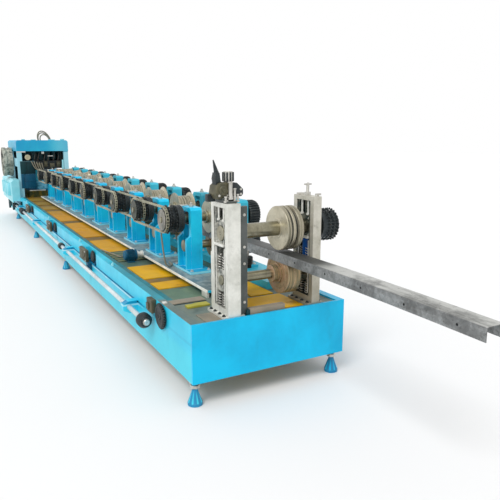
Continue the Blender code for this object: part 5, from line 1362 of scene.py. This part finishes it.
# Levelling feet: smooth cones with a lock nut under the bed
feet = Shape()
nuts = Shape()
FOOT_PLACES = (0.075, 4.50, 7.30, 10.10)
foot_rows = ((0.0, 0.0), (0.0, 0.047), (0.003, 0.050), (0.020, 0.050), (0.024, 0.047),
             (0.104, 0.0195), (0.110, 0.0175), (0.172, 0.0175), (0.172, 0.0))
nut_rows = ((0.118, 0.017), (0.118, 0.030), (0.120, 0.032), (0.138, 0.032), (0.140, 0.030), (0.140, 0.017))
flange_rows = ((0.158, 0.017), (0.158, 0.040), (0.172, 0.040), (0.172, 0.017))
for x in FOOT_PLACES:
    for y in (0.045, BED_WIDTH - 0.045):
        feet.turned(foot_rows, (-x, y, 0), "Z", 32)
        nuts.turned(nut_rows, (-x, y, 0), "Z", 6)
        nuts.turned(flange_rows, (-x, y, 0), "Z", 24)
keep(feet, "levelling_feet", FOOT_BLUE)
keep(nuts, "foot_nuts", BRIGHT)

# Screw-down gear on the near exit housing: casing on a saddle, cover, studs, knob and lever
mid_y = (near_face + near_back) / 2
waist = near_high.z + 0.035
lid = waist + 0.090
half = 0.055
saddle = Shape()
saddle.box((EXIT.x - half, near_face + 0.002, near_high.z + SEAT),
           (EXIT.x + half, near_back - 0.002, waist), 0.003)
saddle.box((EXIT.x - 0.090, near_face + 0.010, near_high.z + SEAT),
           (EXIT.x + 0.090, near_back - 0.010, near_high.z + 0.014))
gearbox = Shape()
gearbox.prism(((mid_y - 0.095, waist + 0.020), (mid_y - 0.078, waist - 0.012), (mid_y - 0.040, waist + 0.001),
               (mid_y + 0.012, waist + 0.001), (mid_y + 0.012, lid - 0.006), (mid_y, lid + 0.004),
               (mid_y - 0.062, lid + 0.004), (mid_y - 0.086, lid - 0.016)), "X",
              EXIT.x - half, EXIT.x + half, 0.005)
front = EXIT.x + half
gearbox.turned((
    (-0.004, 0.0), (-0.004, 0.030), (0.006, 0.032), (0.010, 0.028), (0.010, 0.012), (0.018, 0.010),
    (0.018, 0.0),
), (front, mid_y - 0.040, waist + 0.045), "X", 28)
keep(gearbox, "gearbox_body", OLIVE_IRON, instead=["screw_down_gearbox"])
dark_side = Shape()
dark_side.prism(((mid_y + 0.010, waist + 0.004), (mid_y + 0.092, waist + 0.004),
                 (mid_y + 0.104, waist + 0.018), (mid_y + 0.104, lid - 0.040),
                 (mid_y + 0.086, lid - 0.022), (mid_y + 0.060, lid + 0.002),
                 (mid_y + 0.010, lid + 0.006)), "X", EXIT.x - half + 0.004, EXIT.x + half - 0.004, 0.005)
dark_side.prism(((mid_y - 0.080, lid - 0.010), (mid_y - 0.086, lid + 0.030), (mid_y - 0.078, lid + 0.068),
                 (mid_y - 0.052, lid + 0.068), (mid_y - 0.040, lid - 0.010)), "X",
                EXIT.x - 0.027, EXIT.x + 0.027, 0.004)
dark_side.box((EXIT.x - 0.060, mid_y - 0.118, waist - 0.030),
              (EXIT.x - 0.020, mid_y - 0.060, waist + 0.020), 0.006)
keep(dark_side, "gearbox_cover", DARK)
keep(saddle, "gearbox_saddle", DIM_STEEL)
studs = Shape()
for y, low, high, radius in ((mid_y, waist - 0.010, lid + 0.012, 0.013),
                             (mid_y + 0.030, waist - 0.030, lid - 0.030, 0.008),
                             (mid_y - 0.034, waist - 0.030, waist + 0.010, 0.008),
                             (mid_y + 0.052, waist - 0.030, waist + 0.022, 0.006)):
    studs.turned(((low, 0.0), (low, radius + 0.005), (low + 0.012, radius + 0.005), (low + 0.014, radius),
                  (high - 0.010, radius), (high - 0.008, radius + 0.004), (high, radius + 0.003),
                  (high, 0.0)), (front + 0.018, y, 0), "Z", 18)
keep(studs, "gearbox_studs", BRIGHT)
on_top = [(EXIT.x + side, y, near_high.z + 0.014) for side in (-0.078, 0.078)
          for y in (near_face + 0.022, near_back - 0.022)]
on_waist = [(front, y, waist + 0.014) for y in (mid_y - 0.070, mid_y - 0.012)]
on_cover = [(front - 0.004, mid_y + y, z) for y in (0.030, 0.086) for z in (waist + 0.018, waist + 0.050)]
bolts("saddle_bolts", [(on_top, (0, 0, 1)), (on_waist, (1, 0, 0)), (on_cover, (1, 0, 0))], 0.006)
knob_y = mid_y + 0.020
knob = Shape().turned((
    (-0.010, 0.0), (-0.010, 0.022), (0.006, 0.022), (0.010, 0.034), (0.066, 0.034), (0.073, 0.028),
    (0.074, 0.014), (0.070, 0.012), (0.070, 0.0),
), (EXIT.x, knob_y, lid), "Z", 32)
keep(knob, "gearbox_knob", BRIGHT)
ribs = Shape()
KNOB_RIBS = 10
for rib in range(KNOB_RIBS):
    angle = math.tau * rib / KNOB_RIBS
    ribs.turned((
        (0.010, 0.0), (0.010, 0.0065), (0.068, 0.0065), (0.068, 0.0),
    ), (EXIT.x + 0.033 * math.cos(angle), knob_y + 0.033 * math.sin(angle), lid), "Z", 8)
keep(ribs, "knob_grip", DARK)
lean = Matrix.Rotation(math.radians(15), 3, "X")
lever_rows = ((-0.010, 0.0), (-0.010, 0.017), (0.0, 0.018), (0.060, 0.009), (0.094, 0.004), (0.096, 0.0))
lever = Shape().turned(lever_rows, (EXIT.x, mid_y - 0.060, lid + 0.055), sides=20, lean=lean)
keep(lever, "gearbox_lever", DARK)

# Far adjusting screw with its cross handle
screw_y = (far_face + far_back) / 2
top = far_high.z
screw = Shape()
screw.turned((
    (0.0, 0.0), (0.0, 0.022), (0.023, 0.022), (0.025, 0.020), (0.025, 0.0),
), (EXIT.x, screw_y, top), "Z", 6)
screw.turned((
    (0.020, 0.0), (0.020, 0.010), (0.084, 0.010), (0.090, 0.004), (0.090, 0.0),
), (EXIT.x, screw_y, top), "Z", 20)
screw.turned(((-0.030, 0.0), (-0.030, 0.005), (-0.028, 0.006), (0.028, 0.006), (0.030, 0.005), (0.030, 0.0)),
             (EXIT.x, screw_y, top + 0.078), "Y", 16)
keep(screw, "far_screw_handle", BRIGHT, instead=["far_adjusting_screw"])
seat = Shape().points([(EXIT.x, screw_y, top + 0.026)], (0, 0, 1))
thread = grown(seat, COILS, turns=18.0, radius=0.0095, height=0.044, wire=0.0012, material=BRIGHT)
keep(thread, "far_screw_thread")

# Side guide before the exit stand
guide_low, guide_high = span("side_guide")
guide_x = (guide_low.x + guide_high.x) / 2
pad_y = guide_high.y - 0.045
guide = Shape()
guide.box((guide_x - 0.030, 0.550, DECK_TOP + SEAT), (guide_x + 0.030, 0.610, 0.800), 0.004)
guide.box((guide_x - 0.018, 0.575, 0.770), (guide_x + 0.018, pad_y + 0.030, 0.802), 0.003)
guide.turned(((0.800, 0.0), (0.800, 0.040), (0.805, 0.045), (0.853, 0.045), (0.860, 0.040), (0.860, 0.0)),
             (guide_x, pad_y, 0), "Z", 36)
keep(guide, "guide_roller", DARK, instead=["side_guide"])
cap = Shape().turned(((0.858, 0.0), (0.858, 0.016), (0.880, 0.018), (0.899, 0.018), (0.905, 0.014),
                      (0.905, 0.0)), (guide_x, pad_y, 0), "Z", 24)
keep(cap, "guide_cap", BRIGHT)

# Small motor and its coupling
MOTOR_X = (span("adjusting_motor")[0].x + span("adjusting_motor")[1].x) / 2
motor_near, motor_far = span("adjusting_motor")[0].y, span("adjusting_motor")[1].y
MOTOR_Z = 0.628
motor = Shape()
motor.turned(((motor_near, 0.0), (motor_near, 0.040), (motor_near + 0.008, 0.049),
              (motor_near + 0.016, 0.050), (motor_near + 0.018, 0.046), (motor_far - 0.014, 0.046),
              (motor_far - 0.012, 0.052), (motor_far, 0.052), (motor_far, 0.0)), (MOTOR_X, 0, MOTOR_Z))
motor.box((MOTOR_X - 0.040, motor_near + 0.030, DECK_TOP + SEAT),
          (MOTOR_X + 0.040, motor_far - 0.022, DECK_TOP + 0.012), 0.002)
motor.box((MOTOR_X - 0.014, motor_near + 0.034, DECK_TOP + 0.010),
          (MOTOR_X + 0.014, motor_far - 0.026, MOTOR_Z - 0.02), 0.002)
made = grown(motor, TEETH, place=at(MOTOR_X, (motor_near + motor_far) / 2, MOTOR_Z), rows=1,
             step=0.0, teeth=28, root=0.0485, rise=0.008, base=0.004, tip=0.003,
             width=motor_far - motor_near - 0.036, phase=0.5, material=DARK_BLUE)
keep(made, "motor_body", instead=["adjusting_motor"])
low, high = span("motor_coupling")
coupling = Shape().turned((
    (low.y, 0.0), (low.y, 0.032), (low.y + 0.002, 0.034), (low.y + 0.022, 0.034), (low.y + 0.024, 0.032),
    (low.y + 0.024, 0.024), (high.y - 0.024, 0.024), (high.y - 0.024, 0.032), (high.y - 0.022, 0.034),
    (high.y - 0.002, 0.034), (high.y, 0.032), (high.y, 0.0),
), (MOTOR_X, 0, MOTOR_Z), sides=32)
keep(coupling, "coupling_body", SILVER, instead=["motor_coupling"])

# Punching head: its spoked wheel with two rims
wheel_low, wheel_high = span("drive_wheel")
wheel_x = (wheel_low.x + wheel_high.x) / 2
wheel_z = (wheel_low.z + wheel_high.z) / 2
face = wheel_low.y
back = face + 0.190
wheel = Shape()
rear_rim = back - 0.070
for low, high in ((face, face + 0.070), (rear_rim, back)):
    wheel.turned(((low + 0.003, 0.252), (low, 0.255), (low, 0.295), (low + 0.004, 0.300),
                  (high - 0.004, 0.300), (high, 0.295), (high, 0.255), (high - 0.003, 0.252),
                  (low + 0.003, 0.252)), (wheel_x, 0, wheel_z), sides=64)
wheel.turned((
    (-0.052, 0.256), (-0.052, 0.286), (0.002, 0.286), (0.002, 0.256), (-0.052, 0.256),
), (wheel_x, rear_rim, wheel_z), sides=64)
wheel.turned(((face, 0.0), (face, 0.020), (face + 0.008, 0.024), (face + 0.008, 0.062),
              (face + 0.012, 0.070), (wheel_high.y, 0.070), (wheel_high.y, 0.0)),
             (wheel_x, 0, wheel_z), sides=40)
keep(wheel, "spoked_wheel", WHEEL_IRON, instead=["drive_wheel"])
spokes = Shape()
SPOKES = 6
for spoke in range(SPOKES):
    turn = Matrix.Rotation(math.tau * (spoke + 0.5) / SPOKES, 3, "Y")
    arm = turn @ Vector((0.162, 0, 0))
    for depth in (face + 0.020, back - 0.048):
        spokes.box((wheel_x + arm.x - 0.104, depth, wheel_z + arm.z - 0.022),
                   (wheel_x + arm.x + 0.104, depth + 0.028, wheel_z + arm.z + 0.022), 0.006, turn)
keep(spokes, "wheel_spokes", DARK)

# Under the head's beam: press cylinders, valve blocks, pipes, gauge and guard plates
head_low, head_high = span("head_frame")
front = head_high.x
beam_bottom = 1.510
ram_front = span("head_ram")[1].x
cylinders = Shape()
for y, radius, low in ((0.355, 0.052, 1.335), (0.480, 0.064, 1.320), (0.620, 0.064, 1.320),
                       (0.745, 0.052, 1.335), (0.850, 0.040, 1.350)):
    cylinders.turned(((low, 0.0), (low, radius - 0.014), (low + 0.012, radius - 0.014), (low + 0.014, radius),
                      (low + 0.040, radius), (low + 0.043, radius - 0.008), (1.470, radius - 0.008),
                      (1.473, radius), (beam_bottom - 0.002, radius), (beam_bottom - 0.002, 0.0)),
                     (ram_front - 0.075, y, 0), "Z", 28)
cylinders.box((ram_front - 0.240, 0.200, 1.400), (ram_front - 0.150, 0.900, beam_bottom - 0.002), 0.006)
keep(cylinders, "press_cylinders", BLUE_GREEN)
rear = Shape()
rear.box((head_low.x + 0.060, 0.0965, 1.020), (head_low.x + 0.070, 0.9085, beam_bottom - 0.001), 0.002)
rear.box((head_low.x + 0.060, 0.0965, 0.625), (head_low.x + 0.070, 0.4550, 1.0195), 0.002)
rear.box((head_low.x + 0.092, 0.9500, 1.200), (front - 0.102, 0.9580, beam_bottom - 0.001), 0.002)
for y in (0.200, 0.400, 0.600, 0.800):
    rear.box((head_low.x + 0.052, y - 0.015, 1.040), (head_low.x + 0.0605, y + 0.015, 1.490), 0.003)
keep(rear, "head_rear_cover", BLUE_GREEN)
valves = Shape()
for y, wide, low, high in ((0.305, 0.060, 1.200, 1.300), (0.430, 0.080, 1.175, 1.262),
                           (0.560, 0.070, 1.190, 1.300), (0.690, 0.090, 1.170, 1.255),
                           (0.820, 0.080, 1.185, 1.300)):
    valves.box((ram_front + 0.0005, y - wide / 2, low), (ram_front + 0.046, y + wide / 2, high), 0.005)
    valves.turned((
        (0.045, 0.0), (0.045, wide * 0.3), (0.064, wide * 0.3), (0.067, wide * 0.24), (0.067, 0.0),
    ), (ram_front, y, (low + high) / 2), "X", 20)
keep(valves, "valve_blocks", OLIVE_IRON)
block_high = span("head_bolster")[1]
dies = Shape()
dies.box((block_high.x - 0.036, 0.3475, block_high.z + SEAT), (block_high.x - 0.010, 0.4450, 1.118), 0.005)
dies.box((block_high.x - 0.032, 0.4443, block_high.z + SEAT), (block_high.x - 0.014, 0.5100, 0.985), 0.004)
dies.turned((
    (-0.013, 0.0), (-0.013, 0.026), (-0.003, 0.024), (-0.0005, 0.018), (-0.0005, 0.0),
), (block_high.x, 0.395, 0.985), "X", 24)
keep(dies, "die_blocks", CYAN_FAR)
wedge = Shape()
wedge.prism(((0.866, 1.100), (0.905, 1.100), (0.905, 1.330), (0.880, 1.330)), "X",
            front - 0.060, front - 0.016, 0.004)
wedge.prism(((0.560, 1.020), (0.905, 1.020), (0.905, 1.100), (0.600, 1.070)), "X",
            front - 0.056, front - 0.020, 0.004)
keep(wedge, "column_wedge", CYAN_PALE)
blocks("head_pale_bars", "machined_frame", WHITE_STEEL,
       ((front - 0.030, 0.002, beam_bottom - 0.026), (front - 0.004, 0.170, beam_bottom - SEAT), 0.003),
       ((front - 0.050, 0.480, 1.452), (front - 0.036, 0.530, 1.500), 0.003),
       ((front - 0.050, 0.600, 1.402), (front - 0.036, 0.700, 1.416), 0.003),
       ((front + 0.060, 0.560, 1.100), (front + 0.085, 0.960, 1.122), 0.003),
       ((front + 0.062, 0.570, DECK_TOP + SEAT), (front + 0.083, 0.590, 1.102), 0.002),
       ((front + 0.062, 0.920, DECK_TOP + SEAT), (front + 0.083, 0.940, 1.102), 0.002),
       ((block_high.x + SEAT, 0.2005, 0.690), (block_high.x + 0.016, 0.520, 0.712), 0.003))
gauge = Shape().turned((
    (-0.042, 0.024), (-0.042, 0.052), (-0.036, 0.056), (-0.018, 0.056), (-0.010, 0.052), (-0.010, 0.032),
    (-0.016, 0.028), (-0.016, 0.012), (-0.006, 0.010), (-0.006, 0.0), (-0.042, 0.0),
), (front, 0.205, 1.385), "X", 40)
keep(gauge, "cream_wheel", CREAM)
blocks("guard_lower_plate", "blue_paint", DARK_BLUE,
       ((front - 0.0198, 0.096, 0.762), (front - 0.012, 0.332, 1.050), 0.004),
       ((front - 0.066, 0.330, 0.762), (front - 0.012, 0.3345, 1.050), 0.002),
       ((front - 0.013, 0.110, 0.900), (front - 0.006, 0.318, 0.912), 0.002),
       ((front - 0.0095, 0.050, 0.762), (front - 0.0015, 0.108, 1.050), 0.002))
blocks("guard_upper_plate", "oiled_black", BLUE_GREEN,
       ((front - 0.0198, 0.096, 1.052), (front - 0.013, 0.332, 1.308), 0.004),
       ((front - 0.066, 0.330, 1.052), (front - 0.013, 0.3345, 1.308), 0.002),
       ((front - 0.0095, 0.050, 1.052), (front - 0.0015, 0.160, 1.308), 0.002))
pipes = []
for step in range(5):
    y = 0.270 + 0.050 * step
    pipes.append([(front - 0.014, y, 1.310 - 0.01 * step),
                  (front + 0.004, y + 0.010, 1.270 - 0.02 * step),
                  (front + 0.010, y + 0.050, 1.180 - 0.03 * step),
                  (front + 0.006, y + 0.110, 1.120 - 0.03 * step),
                  (front - 0.020, y + 0.170, 1.085 - 0.02 * step)])
hose("head_pipes", pipes, 0.009, HOSE_GREY)
hose("head_black_pipes", [
    [(ram_front + 0.06, y, 1.300), (ram_front + 0.075, y + 0.02, 1.400), (ram_front + 0.040, y + 0.04, 1.480)]
    for y in (0.330, 0.400, 0.520, 0.600, 0.710, 0.800)], 0.010)
rack = Shape()
for x in (-9.35, -9.70, -10.05, -10.40):
    rack.box((x - 0.060, -0.206, 0.600), (x + 0.060, -0.151, 0.860), 0.006)
keep(rack, "side_box_ribs", CYAN_PALE)
drips = Shape()
for x, y, low, high, size in ((-9.30, -0.110, 0.300, 0.478, 0.050), (-9.75, -0.120, 0.340, 0.478, 0.040),
                              (-8.70, -0.020, 0.300, 0.520, 0.019), (-10.10, -0.110, 0.260, 0.478, 0.045)):
    drips.box((x - size, y - min(size, 0.020), low), (x + size, y + min(size, 0.019), high), 0.005)
keep(drips, "side_box_fittings", BLUE_GREEN)

# Arched hoses over the beam
hose_low, hose_high = span("head_hose")
hose_x = (hose_low.x + hose_high.x) / 2
hose_y = (hose_low.y + hose_high.y) / 2 + 0.035
arch_foot = hose_low.z
routes = []
ARCH_STEPS = 12
for shift, tall, wide, lean in ((0.0, 0.184, 0.125, 0.045), (-0.060, 0.150, 0.110, 0.030),
                                (0.060, 0.110, 0.090, 0.020)):
    route = [(hose_x + shift, hose_y - wide, arch_foot)]
    for step in range(ARCH_STEPS + 1):
        turn = math.pi * step / ARCH_STEPS
        route.append((hose_x + shift, hose_y - wide * math.cos(turn) - lean * math.sin(turn),
                      arch_foot + 0.006 + tall * math.sin(turn)))
    route.append((hose_x + shift, hose_y + wide, arch_foot))
    routes.append(route)
made = hose("arched_hoses", routes, 0.012, HOSE_GREY)
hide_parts("head_hose")
lumps = Shape()
for y, wide, tall in ((0.120, 0.060, 0.020), (0.300, 0.090, 0.014), (0.640, 0.120, 0.016),
                      (0.880, 0.070, 0.026)):
    lumps.box((front - 0.120, y, head_high.z + SEAT), (front - 0.030, y + wide, head_high.z + tall), 0.004)
keep(lumps, "beam_fittings", CYAN_PALE)

# Floor, backdrop and light
floor = bpy.data.objects.new("floor", bpy.data.meshes.new("floor"))
FLOOR_HALF = 60
corners = [(-FLOOR_HALF, -FLOOR_HALF, 0), (FLOOR_HALF, -FLOOR_HALF, 0),
           (FLOOR_HALF, FLOOR_HALF, 0), (-FLOOR_HALF, FLOOR_HALF, 0)]
floor.data.from_pydata(corners, [], [(0, 1, 2, 3)])
bpy.context.scene.collection.objects.link(floor)
floor_finish = Finish("pale_floor")
floor.data.materials.append(floor_finish.feed(Base_Color=(0.86, 0.86, 0.86, 1), Roughness=0.9))

world = bpy.data.worlds.new("pale_room")
bpy.context.scene.world = world
world.use_nodes = True
ray = world.node_tree.nodes.new("ShaderNodeLightPath")
seen = Wire(world.node_tree, ray.outputs["Is Camera Ray"])
seen = seen.through("MAXIMUM", Wire(world.node_tree, ray.outputs["Is Glossy Ray"]))
seen = seen.through("MAXIMUM", Wire(world.node_tree, ray.outputs["Is Transmission Ray"]))
strength = seen.node("ShaderNodeMix", {"data_type": "FLOAT"}, {0: seen, 2: 0.80, 3: 1.0}, 0)
background = world.node_tree.nodes["Background"]
background.inputs["Color"].default_value = (1, 1, 1, 1)
world.node_tree.links.new(strength.socket, background.inputs["Strength"])


light = bpy.data.lights.new("window_light", "SUN")
light.energy = 1.6
light.angle = math.radians(25)
lamp = bpy.data.objects.new("window_light", light)
lamp.rotation_euler = Vector((-0.45, 0.65, -0.90)).to_track_quat("-Z", "Y").to_euler()
bpy.context.scene.collection.objects.link(lamp)
bpy.context.scene.view_settings.view_transform = "Standard"
